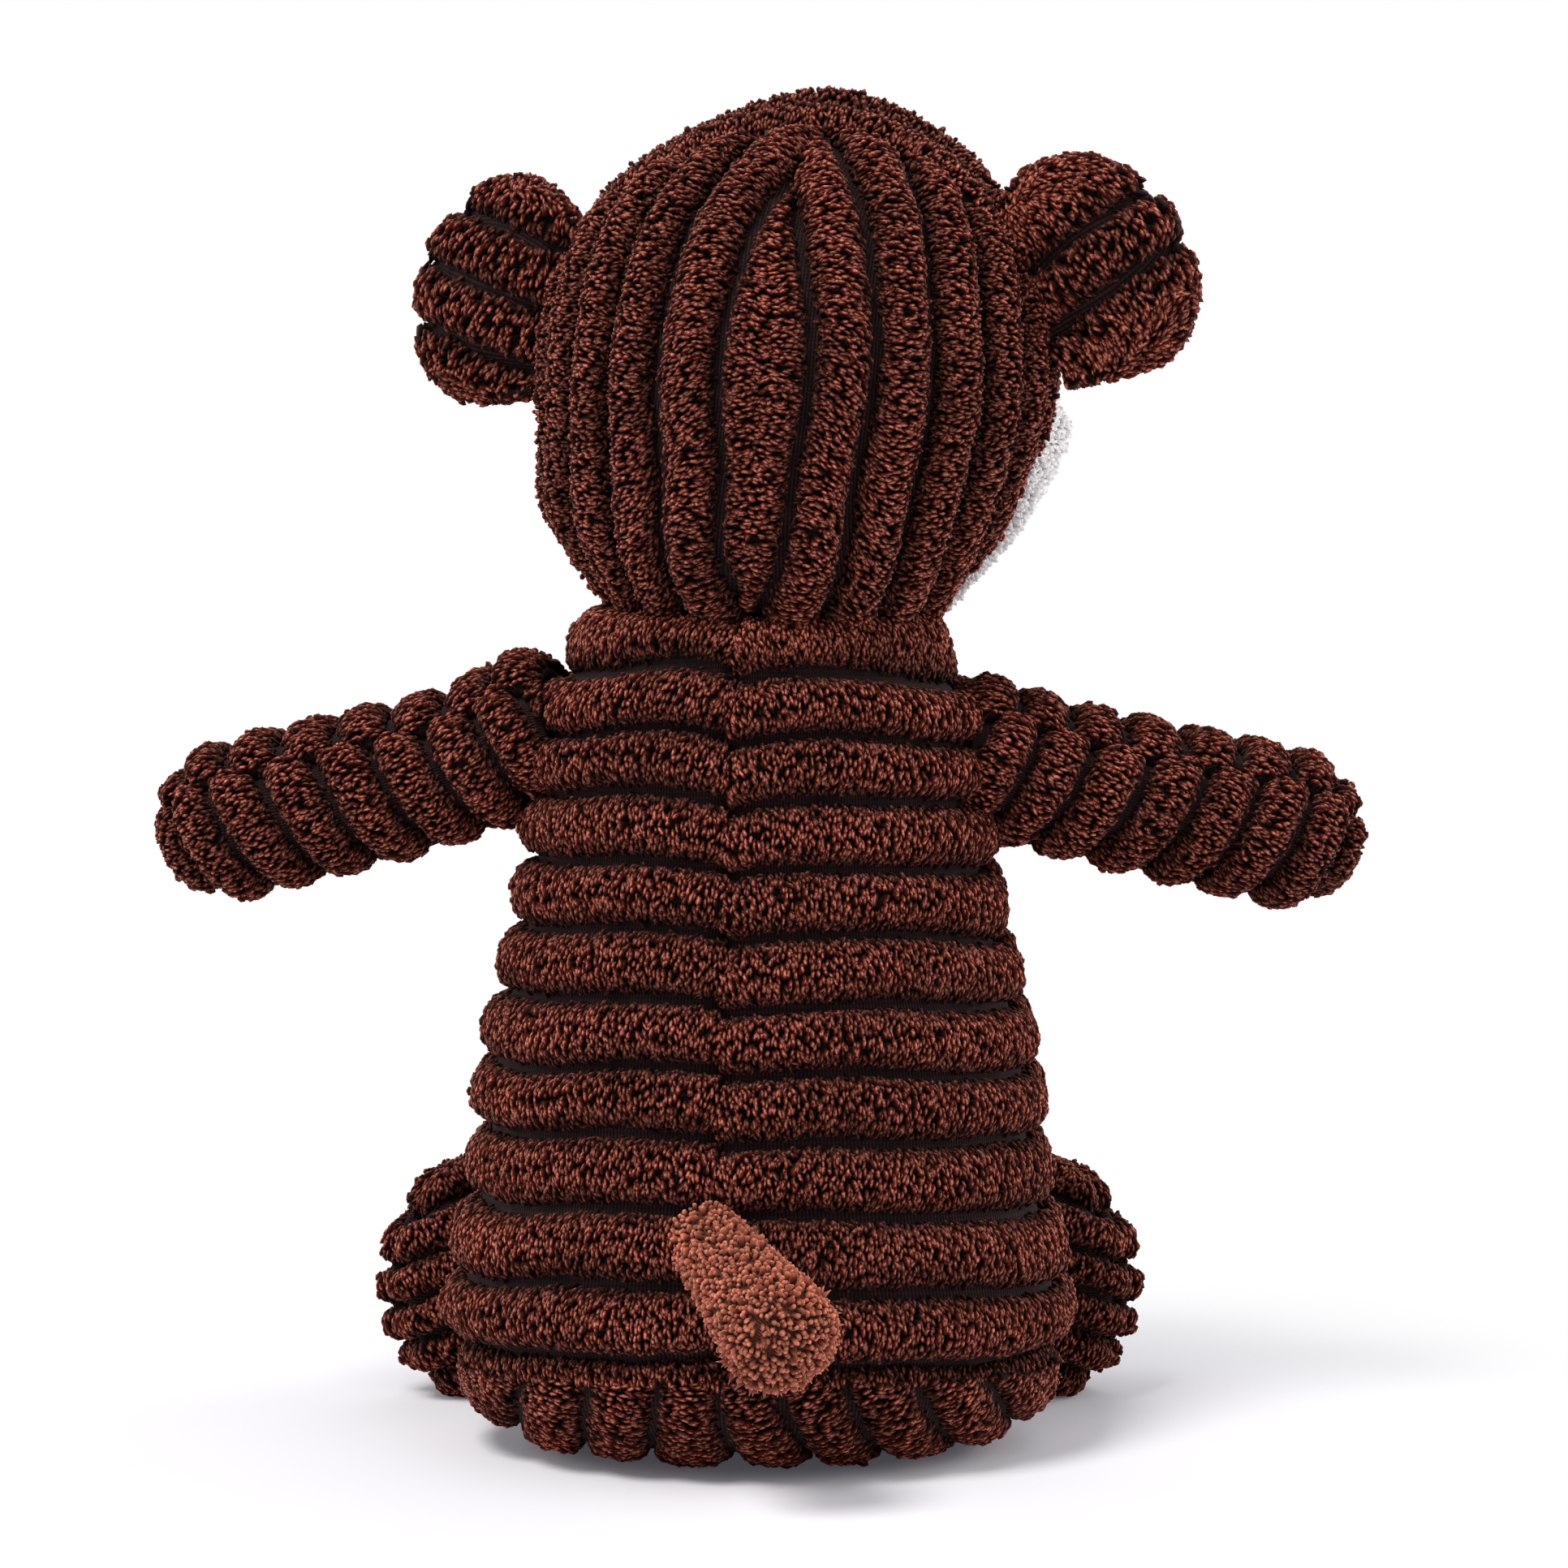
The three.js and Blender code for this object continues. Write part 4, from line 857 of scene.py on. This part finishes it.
def front_panel(low, high, length, ribs=None, cheeks=(0.0, 0.0), reach=EAR_SIDE):
    """A panel of the head's front between two edges, in degrees in front of the crown for each side."""
    def form(u, v):
        side = reach * (2 * u - 1)
        bottom, top = low(side), high(side)
        from_seam = np.radians((bottom - top) * np.minimum(v, 1 - v))
        from_seam = from_seam * np.cos(np.radians(side)) * HEAD_HALF[1]
        local = head_local(-(bottom + (top - bottom) * v), side)
        way = unit(local)
        x, y, z = np.moveaxis(way, -1, 0)
        cheek = band(y, CHEEK_AHEAD, LEVEL_SPREAD) * smoothstep((CHEEK_LEVEL - z) / CHEEK_FADE)
        cheek = cheek * smoothstep(from_seam / CHEEK_SEAM)
        return head_out(local + way * (np.where(x > 0, *cheeks) * cheek)[..., None])

    return Panel(form, (2 * math.radians(reach) * HEAD_RADIUS[0], length), ribs, sewn=("v0", "v1"))


def hood_ribs(points, u, v):
    local = head_in(points)
    lean = math.radians(CROWN_LEAN)
    ahead = local[:, 2] * math.sin(lean) - local[:, 1] * math.cos(lean)
    return GORE_RADIUS * np.arcsin(np.clip(ahead / GORE_RADIUS, -1, 1)) + wobble(points, RIB_WOBBLE)


def muzzle_at(u, v):
    a, e = 2 * math.pi * u, np.radians(MUZZLE_RIM + (MUZZLE_TIP - MUZZLE_RIM) * v)
    wide, deep, tall = MUZZLE_HALF
    local = columns(wide * np.cos(a) * np.cos(e), -deep * np.sin(e), tall * np.sin(a) * np.cos(e))
    return head_out(local + MUZZLE_AT)


sew("head_back_left", gore_panel(1), "head")
sew("head_back_right", gore_panel(-1), "head")
sew("head_hood", front_panel(brow_edge, crown_edge, HOOD_LENGTH, hood_ribs), "head")
sew("face", front_panel(face_end, brow_edge, FACE_LENGTH, cheeks=CHEEKS, reach=FACE_REACH), "head",
    "face_panel", **FACE_LOOK)
sew("muzzle", Panel(muzzle_at, MUZZLE_SPAN, closed=True, pile=1.4), "head", "muzzle_panel", **FACE_LOOK)


# Ears

EAR_LIFTS = {"left": 16, "right": 40}
EAR_BENDS = {"left": 20, "right": 0}
EAR_WALE_PITCH = 9.6
EAR_GROOVES = {"left": 0.0, "right": EAR_WALE_PITCH / 2}
EAR_ROOT = -4.0
EAR_WIDEST = 9.0
EAR_REACH = 23.8
EAR_SPAN = (40.0, 38.0)
EAR_TIP = 0.985  # of the way to its tip that the cloth reaches
EAR_BLEND = (-2.0, 6.0)
ear_height = smooth_curve([(-4, 13.5), (0, 15.0), (4, 17.0), (9, 18.4)])
ear_thickness = smooth_curve([(-4, 3.4), (0, 3.8), (4, 5.2), (9, 6)])


def ear_panel(place, back, flip, groove):
    """One face of an ear; local x is outward, y to the back and z along the fold."""
    straight = (EAR_WIDEST - EAR_ROOT) / EAR_SPAN[1]

    def form(u, v):
        if flip:
            u = 1 - u
        v = v * EAR_TIP
        cap = np.maximum((v - straight) / (1 - straight), 0) * math.pi / 2
        along = np.minimum(EAR_ROOT + v * EAR_SPAN[1], EAR_WIDEST) + (EAR_REACH - EAR_WIDEST) * np.sin(cap)
        a = np.radians((-90 if back else 90) + 180 * u)
        thick, high = ear_thickness(along) * np.cos(cap), ear_height(along) * np.cos(cap)
        return place.out(columns(along, thick * np.cos(a), high * np.sin(a)))

    def across(points, u, v):
        outermost = 1.5 * EAR_WALE_PITCH - groove
        high = np.clip(place.into(points)[:, 2], -outermost, outermost)
        return high + groove + wobble(points, RIB_WOBBLE)

    facing = place.axes[:, 1] * (1 if back else -1)
    return Panel(form, EAR_SPAN, across, EAR_WALE_PITCH, sewn=("u0", "u1"), pile=2.0, rib=2.1,
                 beyond=(place.origin + facing * 0.1, facing))


for side, sign in SIDES:
    lifted = head.axes @ turn("Y", -sign * EAR_LIFTS[side]) @ turn("Z", -sign * EAR_BENDS[side])
    ear = Place(pivots[f"ear_{side}_fold"], lifted @ np.diag([sign, 1, 1]))
    bend = root_blend("head", f"ear_{side}", ear, *EAR_BLEND)
    for face in ("back", "front"):
        panel = ear_panel(ear, face == "back", sign < 0, EAR_GROOVES[side])
        sew(f"ear_{side}_{face}", panel, bend, fill=0.4, spacing=TUFT_SPACING * 1.15, lean=0.3)


# Limbs

ARM_KNOTS = [(-6, 11.5), (0, 12.6), (8, 12.2), (25, 12.4), (47, 12.8)]  # along the arm, and its radius
ARM_CAP = 14.5
ARM_RADIUS = 12.5  # for the size of its cloth
ARM_TURN = -15.0
ARM_SLOPES = {"left": 14.3, "right": 13.0}
ARM_DROPS = {"left": 0.3, "right": 2.6}
ARM_ROOT_LIFTS = {"left": 2.7, "right": 1.0}  # the arm leaves the shoulder a little higher than it goes on
ARM_ROOT_REACH = 18.0
ARM_SEAM = 42.0
ARM_UNDERSEAM = -100.0
ARM_WALE_PITCH = 9.0
ARM_SLANT = math.tan(math.radians(15))
ARM_BLEND = (-4.0, 9.0)
LEG_KNOTS = [(-6, 9.5), (0, 12), (6, 15.2), (15, 20.3), (20, 19.0)]
LEG_SPAN = (2 * math.pi * 20.3, 29.0)
LEG_TURN = -44.0
LEG_DROP = 2.4
LEG_BLEND = (-4.0, 8.0)
SOLE_START = 20.0
SOLE_REACH = 4.4
SOLE_FLAT = 14.5
SOLE_EDGE = 0.4  # of the way from the sole's seam to its middle
SOLE_CROWN = 0.5
SOLE_SPAN = (2 * math.pi * 19, 20.0)
FOOT_WALE_PITCH = 7.1
FOOT_RIB_SLOPE = 0.38  # upwards to the outside
FOOT_RIB_SHIFT = 1.5
LOWEST_FOOT_RIB = 2.5 * FOOT_WALE_PITCH  # its middle; it goes on under the foot
TAIL_KNOTS = [(-5, 6.0), (0, 6.2), (8, 6.9), (18, 8.0), (25, 8.6)]
TAIL_CAP = 4.5
TAIL_ROUND = 2 * math.pi * 9
TAIL_RISE = 1.4
TAIL_TURN = 114.0
TAIL_SLOPE = 20.0
TAIL_BLEND = (-3.0, 7.0)
TAIL_END_START = 22.5
TAIL_END_LENGTH = 7.5
TAIL_END_RADIUS = 9.6
TAIL_END_OPEN = (88.0, 4.0)  # degrees from the tail's axis, from the end's rim to its middle


def limb_form(place, profile, flip, first=0, last=360, lift=0.0):
    """A turned limb along local x, between degrees round it; profile(v) gives along and radius."""
    def form(u, v):
        if flip:
            u = 1 - u
        a = np.radians(first + (last - first) * u)
        along, radius = profile(v)
        raised = lift * np.clip(1 - along / ARM_ROOT_REACH, 0, 1) ** 2
        return place.out(columns(along, radius * np.cos(a), radius * np.sin(a) + raised))

    return form


def capped(knots, cap_length):
    """A profile that follows knots of (along, radius) and ends in a round cap, and its length."""
    curve = smooth_curve(knots)
    start, cap_start = float(knots[0][0]), float(knots[-1][0])
    straight = cap_start - start
    total = straight + math.pi / 2 * (cap_length + float(curve(cap_start))) / 2

    def profile(v):
        s = v * total * 0.99
        cap = np.maximum((s - straight) / (total - straight), 0) * math.pi / 2
        along = start + np.minimum(s, straight) + cap_length * np.sin(cap)
        return along, curve(np.minimum(along, cap_start)) * np.cos(cap)

    return profile, total


arm_profile, ARM_TOTAL = capped(ARM_KNOTS, ARM_CAP)
tail_profile, TAIL_TOTAL = capped(TAIL_KNOTS, TAIL_CAP)
leg_curve = smooth_curve(LEG_KNOTS)


def leg_profile(v):
    along = LEG_KNOTS[0][0] + v * (SOLE_START - LEG_KNOTS[0][0])
    return along, leg_curve(along)


def sole_profile(v):
    bent = np.clip(v / SOLE_EDGE, 0, 1) * math.pi / 2
    radius = SOLE_FLAT + (float(leg_curve(SOLE_START)) - SOLE_FLAT) * np.cos(bent)
    flat = np.maximum(v - SOLE_EDGE, 0) / (1 - SOLE_EDGE)
    return SOLE_START + SOLE_REACH * np.sin(bent) + SOLE_CROWN * flat, radius * (1 - (1 - HOLE) * flat)


def arm_ribs(place, shift):
    def across(points, u, v):
        return v * ARM_TOTAL - ARM_SLANT * place.into(points)[:, 2] + shift + wobble(points, LIMB_WOBBLE)

    return across


def leg_ribs(sign):
    def across(points, u, v):
        high = points[:, 2] + FOOT_RIB_SLOPE * sign * points[:, 0] - FOOT_RIB_SHIFT
        return np.maximum(high, LOWEST_FOOT_RIB) + wobble(points, LIMB_WOBBLE)

    return across


for side, sign in SIDES:
    flip, mirror = sign < 0, np.diag([sign, 1, 1])
    arm = Place(pivots[f"shoulder_{side}"] - np.array([0, 0, ARM_DROPS[side]]),
                mirror @ turn("Z", ARM_TURN) @ turn("Y", ARM_SLOPES[side]))
    for face, first, last, shift in (("back", ARM_UNDERSEAM, ARM_SEAM, 0.0),
                                     ("front", ARM_SEAM, ARM_UNDERSEAM + 360, ARM_WALE_PITCH / 2)):
        panel = Panel(limb_form(arm, arm_profile, flip, first, last, ARM_ROOT_LIFTS[side]),
                      (math.radians(last - first) * ARM_RADIUS, ARM_TOTAL), arm_ribs(arm, shift),
                      ARM_WALE_PITCH, sewn=("u0", "u1"), rib=2.9)
        sew(f"arm_{side}_{face}", panel, root_blend("torso", f"arm_{side}", arm, *ARM_BLEND))

    leg = Place(pivots[f"hip_{side}"] - np.array([0, 0, LEG_DROP]), mirror @ turn("Z", LEG_TURN))
    panel = Panel(limb_form(leg, leg_profile, flip), LEG_SPAN, leg_ribs(sign), FOOT_WALE_PITCH,
                  closed=True, sewn=("v1",), rib=2.8, beyond=FLOOR)
    sew(f"leg_{side}", panel, root_blend("torso", f"leg_{side}", leg, *LEG_BLEND), f"leg_{side}_cover")
    panel = Panel(limb_form(leg, sole_profile, flip), SOLE_SPAN, leg_ribs(sign), FOOT_WALE_PITCH,
                  closed=True, sewn=("v0",), rib=2.2, beyond=FLOOR)
    sew(f"foot_{side}_sole", panel, f"leg_{side}")

tail = Place(pivots["tail_wag"] + np.array([0, 0, TAIL_RISE]), turn("Z", TAIL_TURN) @ turn("Y", TAIL_SLOPE))
sew("tail", Panel(limb_form(tail, tail_profile, False), (TAIL_ROUND, TAIL_TOTAL), closed=True, pile=1.5),
    root_blend("torso", "tail", tail, *TAIL_BLEND), "tail_cover", slot="tail_plush",
    materials=(TAIL_WEAVE, TAIL_PILE), spacing=0.72, lean=0.35, fat=0.52)


def tail_end_at(u, v):
    """The tail's round end, where its pile is longest."""
    rim, middle = TAIL_END_OPEN
    a, opened = 2 * math.pi * u, np.radians(middle + (rim - middle) * (1 - v))
    radius = TAIL_END_RADIUS * np.sin(opened)
    along = TAIL_END_START + TAIL_END_LENGTH * np.cos(opened)
    return tail.out(columns(along, radius * np.cos(a), radius * np.sin(a)))


tail_end = Panel(tail_end_at, (TAIL_ROUND, 13.0), closed=True, pile=4.2)
for piece in tufts("tail_end_pile", tail_end, TAIL_END_PILE, spacing=1.35, lean=0.32, fat=0.4,
                   tone_spread=0.15, shoulder=0.6):
    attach(piece, "tail")


# Embroidery on the face

FACE_RADIUS = 38.0
EYE_AT = (11.5, 3.0)
EYE_HALF = (3.6, 4.6)
EYE_RISE = 1.5
NOSE_HEIGHT = 5.5
NOSE_HALF = (5.4, 3.2)
NOSE_RISE = 1.8
STITCH = 0.7  # width of one satin stitch
STITCH_RIDGE = 0.16
SATIN_RIM = 1.6  # how deep a patch's rim is sunk
SATIN_BACK = 1.4  # how deep its back lies
SATIN_TAPER = 0.9
SMILE_RADIUS = 10.0
SMILE_MIDDLE = 6.0
SMILE_SWEEP = 52.0
SMILE_LIFT = 0.1
MOUTH_THREAD = 0.8
MOUTH_TWIST = 2.2
TWIST_RIDGE = 0.14


def embroidered(name, node, points, groups):
    """A piece of thread on the face, in place of its CAD node."""
    made = new_object(name, head_out(points), groups, THREAD)
    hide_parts(node)
    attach(made, "head")


def satin_patch(name, node, spot, half, rise):
    """A dome of side by side satin stitches, with its rim sunk into the cloth."""
    middle, right, up, outward = spot
    rings, turns = 18, 72
    ring, step = grid(rings, turns)
    share, angle = (ring + 1) / rings, step * 2 * math.pi / turns
    x, z = half[0] * share * np.cos(angle), half[1] * share * np.sin(angle)
    ridges = STITCH_RIDGE * np.abs(np.sin(x * math.pi / STITCH))
    height = rise * np.sqrt(np.maximum(1 - share ** 2, 0)) + ridges - SATIN_RIM * share ** 8
    front = middle + x[:, None] * right + z[:, None] * up + height[:, None] * outward
    back = middle + SATIN_TAPER * (front - middle) - (height + SATIN_BACK)[:, None] * outward
    points = np.concatenate([[middle + rise * outward, middle - SATIN_BACK * outward], front, back])
    at = 2 + np.arange(rings * turns).reshape(rings, turns)
    after = np.roll(at, -1, axis=1)
    under, under_after = at + at.size, after + at.size
    embroidered(name, node, points, [
        quads(at[:-1], at[1:], after[1:], after[:-1]),
        quads(under[:-1], under_after[:-1], under_after[1:], under[1:]),
        quads(at[-1], under[-1], under_after[-1], after[-1]),
        columns(0, at[0], after[0]), columns(1, under_after[0], under[0])])


def stitched_line(name, node, path, outward, radius, twist):
    """A thick stitched thread along a path, with the ridges of its twist."""
    sides, count = 10, len(path)
    forward = unit(np.gradient(path, axis=0))
    across = unit(np.cross(forward, outward))
    outward = np.cross(across, forward)
    length = np.concatenate([[0], np.cumsum(np.linalg.norm(np.diff(path, axis=0), axis=1))])
    angle = np.arange(sides) * 2 * math.pi / sides
    ends = np.minimum(1, np.sqrt(np.minimum(length, length[-1] - length) / radius + 0.02))
    ridges = TWIST_RIDGE * np.sin(2 * angle[None] + length[:, None] * 2 * math.pi / twist)
    girth = (radius * ends[:, None] * (1 + ridges))[..., None]
    way = np.cos(angle)[None, :, None] * across[:, None] + np.sin(angle)[None, :, None] * outward[:, None]
    at = np.arange(count * sides).reshape(count, sides)
    after = np.roll(at, -1, axis=1)
    embroidered(name, node, (path[:, None] + girth * way).reshape(-1, 3), [
        quads(at[:-1], after[:-1], after[1:], at[1:]), at[0][::-1][None], at[-1][None]])


def face_spot(x, z):
    """A place on the face: its point and the axes across, up and out of it, from the head's middle."""
    side = math.degrees(math.asin(x / FACE_RADIUS))
    front = -(90 + CROWN_LEAN - math.degrees(math.asin(z / FACE_RADIUS)))
    middle, beside, above = (head_local(np.array(front + up), np.array(side + right))
                             for up, right in ((0, 0), (0, 2), (2, 0)))
    right = unit(beside - middle)
    up = unit((above - middle) - right * ((above - middle) @ right))
    return middle, right, up, np.cross(right, up)


def muzzle_front(x, z):
    """Points of the muzzle's front, from its own middle, and the directions out of it."""
    y = -MUZZLE_HALF[1] * np.sqrt(1 - (x / MUZZLE_HALF[0]) ** 2 - (z / MUZZLE_HALF[2]) ** 2)
    points = columns(x, y, z)
    return points, unit(points / MUZZLE_HALF ** 2)


for side, sign in SIDES:
    spot = face_spot(sign * EYE_AT[0], EYE_AT[1])
    satin_patch(f"eye_{side}_satin", f"eye_{side}", spot, EYE_HALF, EYE_RISE)

nose_at, nose_out = muzzle_front(0.0, NOSE_HEIGHT)
nose_right = np.array([1.0, 0, 0])
satin_patch("nose_satin", "nose", (nose_at + MUZZLE_AT, nose_right, np.cross(nose_out, nose_right), nose_out),
            NOSE_HALF, NOSE_RISE)

smile = np.radians(np.linspace(-SMILE_SWEEP, SMILE_SWEEP, 90))
smile_at, smile_out = muzzle_front(SMILE_RADIUS * np.sin(smile), SMILE_MIDDLE - SMILE_RADIUS * np.cos(smile))
smile_at = smile_at + SMILE_LIFT * smile_out
stitched_line("mouth_thread", "mouth_stitch", smile_at + MUZZLE_AT, unit(smile_at), MOUTH_THREAD, MOUTH_TWIST)


# Filling and squeaker

STUFFED = ("head", "tail", "arm_left", "arm_right", "leg_left", "leg_right")
FILLINGS = {"torso_filling": "torso", "filling_wad": "torso", **{f"{body}_filling": body for body in STUFFED}}
FILLING_INSETS = {"torso_filling": 3.0, "leg_left_filling": 2.5, "leg_right_filling": 2.5}
FILLING_INSET = 0.4  # of the others
FILLING_DEPTH = 7.5  # of the head's filling below the outside of its pile
FILLING_CELL = 2.2
FILLING_LUMPS = 0.3
FILLING_WAVES = np.array([[620, 250, -330], [-270, 540, 410]])  # radians for each metre


def filling_mesh(wadding):
    """A filling's solid with its edges rounded off."""
    remesh = wadding.modifiers.new("remesh", "REMESH")
    remesh.mode, remesh.voxel_size, remesh.use_smooth_shade = "VOXEL", FILLING_CELL * MM, True
    relax = wadding.modifiers.new("relax", "SMOOTH")
    relax.factor, relax.iterations = 0.5, 6
    graph = bpy.context.evaluated_depsgraph_get()
    mesh = bpy.data.meshes.new_from_object(wadding.evaluated_get(graph))
    wadding.modifiers.clear()
    return mesh


for node, body in FILLINGS.items():
    wadding = linked(f"{node}_fibre", frame["nodes"][node].data.copy())
    mesh = wadding.data = filling_mesh(wadding)
    points, normals = np.empty((2, len(mesh.vertices), 3), np.float32)
    mesh.vertices.foreach_get("co", points.ravel())
    mesh.vertices.foreach_get("normal", normals.ravel())
    if node == "head_filling":
        local = head_in(points / MM)
        way, far = unit(local), np.linalg.norm(local, axis=1)
        points = head_out(way * np.minimum(far, head_radius(way) - FILLING_DEPTH)[:, None]) * MM
    lumps = FILLING_LUMPS * np.sin(points @ FILLING_WAVES[0]) * np.sin(points @ FILLING_WAVES[1])
    inset = (FILLING_INSETS.get(node, FILLING_INSET) + lumps) * MM
    mesh.vertices.foreach_set("co", (points - normals * inset[:, None]).astype(np.float32).ravel())
    mesh.materials.clear()
    mesh.materials.append(FIBRE)
    mesh.update()
    mesh.shade_smooth()
    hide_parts(node)
    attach(wadding, body)

for node in ("squeaker_cup", "squeaker_dome", "reed_tube", "reed"):
    shown = frame["nodes"][node]
    shown.data.materials.clear()
    shown.data.materials.append(PLASTIC)


# Stage

TARGET = Vector((-3.8, -3.0, 99.8)) * MM
DISTANCE = 0.9025
ELEVATION = math.radians(5.5)
LENS_MM = 138.0
SENSOR_MM = 36.0
FLOOR_SIZE = 6.0
FLOOR_LIFT = 0.06  # brightens the floor to the camera alone
FLOOR_FADE = (0.06, 0.18)  # metres from the middle, over which the floor turns into the white backdrop
SKY = 0.32
WHITE = (1, 1, 1, 1)

camera_data = bpy.data.cameras.new("camera")
camera_data.sensor_width = SENSOR_MM
camera_data.lens = LENS_MM
camera_data.clip_start, camera_data.clip_end = 0.01, 50.0
camera = linked("camera", camera_data)
back = Vector((0, math.cos(ELEVATION), math.sin(ELEVATION)))
camera.location = TARGET + back * DISTANCE
camera.rotation_mode = "QUATERNION"
camera.rotation_quaternion = (-back).to_track_quat("-Z", "Y")
bpy.context.scene.camera = camera


def backdrop_rays(seen, tree):
    """An output that is 1 on the rays that show the backdrop: the camera's, mirrored and refracted ones."""
    mirrored = calculate(tree, "MAXIMUM", seen["Is Camera Ray"], seen["Is Glossy Ray"])
    return calculate(tree, "MAXIMUM", mirrored, seen["Is Transmission Ray"])


floor_mesh = bpy.data.meshes.new("floor")
half = FLOOR_SIZE / 2
floor_mesh.from_pydata([(-half, -half, 0), (half, -half, 0), (half, half, 0), (-half, half, 0)], [],
                       [(0, 1, 2, 3)])
linked("floor", floor_mesh)

floor_material, tree, shader = new_material("floor", {
    "Base Color": (0.80, 0.81, 0.85, 1), "Emission Color": (0.86, 0.86, 1.0, 1), "Roughness": 0.9,
    "Specular IOR Level": 0.0})
place = add(tree, "TexCoord").outputs["Object"]
far = add(tree, "VectorMath", {0: place}, operation="LENGTH").outputs["Value"]
fade = add(tree, "MapRange", {"Value": far, "From Min": FLOOR_FADE[0], "From Max": FLOOR_FADE[1]},
           interpolation_type="SMOOTHSTEP").outputs["Result"]
seen = add(tree, "LightPath").outputs
feed(tree, shader, {"Emission Strength": calculate(tree, "MULTIPLY", seen["Is Camera Ray"], FLOOR_LIFT)})
glow = add(tree, "Emission", {"Color": WHITE, "Strength": 1.0})
mix = add(tree, "MixShader", {"Fac": calculate(tree, "MULTIPLY", fade, backdrop_rays(seen, tree)),
                              1: shader.outputs["BSDF"], 2: glow.outputs["Emission"]})
feed(tree, tree.nodes["Material Output"], {"Surface": mix.outputs["Shader"]})
floor_mesh.materials.append(floor_material)

world = bpy.data.worlds.new("studio")
bpy.context.scene.world = world
world.use_nodes = True
tree = world.node_tree
sky = tree.nodes["Background"]
feed(tree, sky, {"Color": (0.97, 0.95, 0.98, 1), "Strength": SKY})
white = add(tree, "Background", {"Color": WHITE, "Strength": 1.0})
mix = add(tree, "MixShader", {"Fac": backdrop_rays(add(tree, "LightPath").outputs, tree),
                              1: sky.outputs["Background"], 2: white.outputs["Background"]})
feed(tree, tree.nodes["World Output"], {"Surface": mix.outputs["Shader"]})


def sun(name, towards, strength, width, colour):
    """A broad soft light that shines along a direction; its width is in degrees."""
    data = bpy.data.lights.new(name, "SUN")
    data.energy, data.angle, data.color = strength, math.radians(width), colour
    made = linked(name, data)
    made.rotation_mode = "QUATERNION"
    made.rotation_quaternion = Vector(towards).to_track_quat("-Z", "Y")


sun("key", (-0.4, -0.5, -1.0), 2.2, 22, (1.0, 0.97, 0.94))
sun("fill", (0.6, -0.35, -0.7), 0.6, 60, (1.0, 0.98, 0.96))
sun("front", (0.1, 0.8, -0.6), 0.5, 60, (1.0, 0.98, 0.96))
sun("left_side", (-1.0, 0.25, -0.3), 1.5, 50, (1.0, 0.98, 0.97))
sun("right_side", (1.0, 0.25, -0.3), 1.6, 50, (1.0, 0.98, 0.97))

bpy.context.scene.view_settings.view_transform = "Standard"
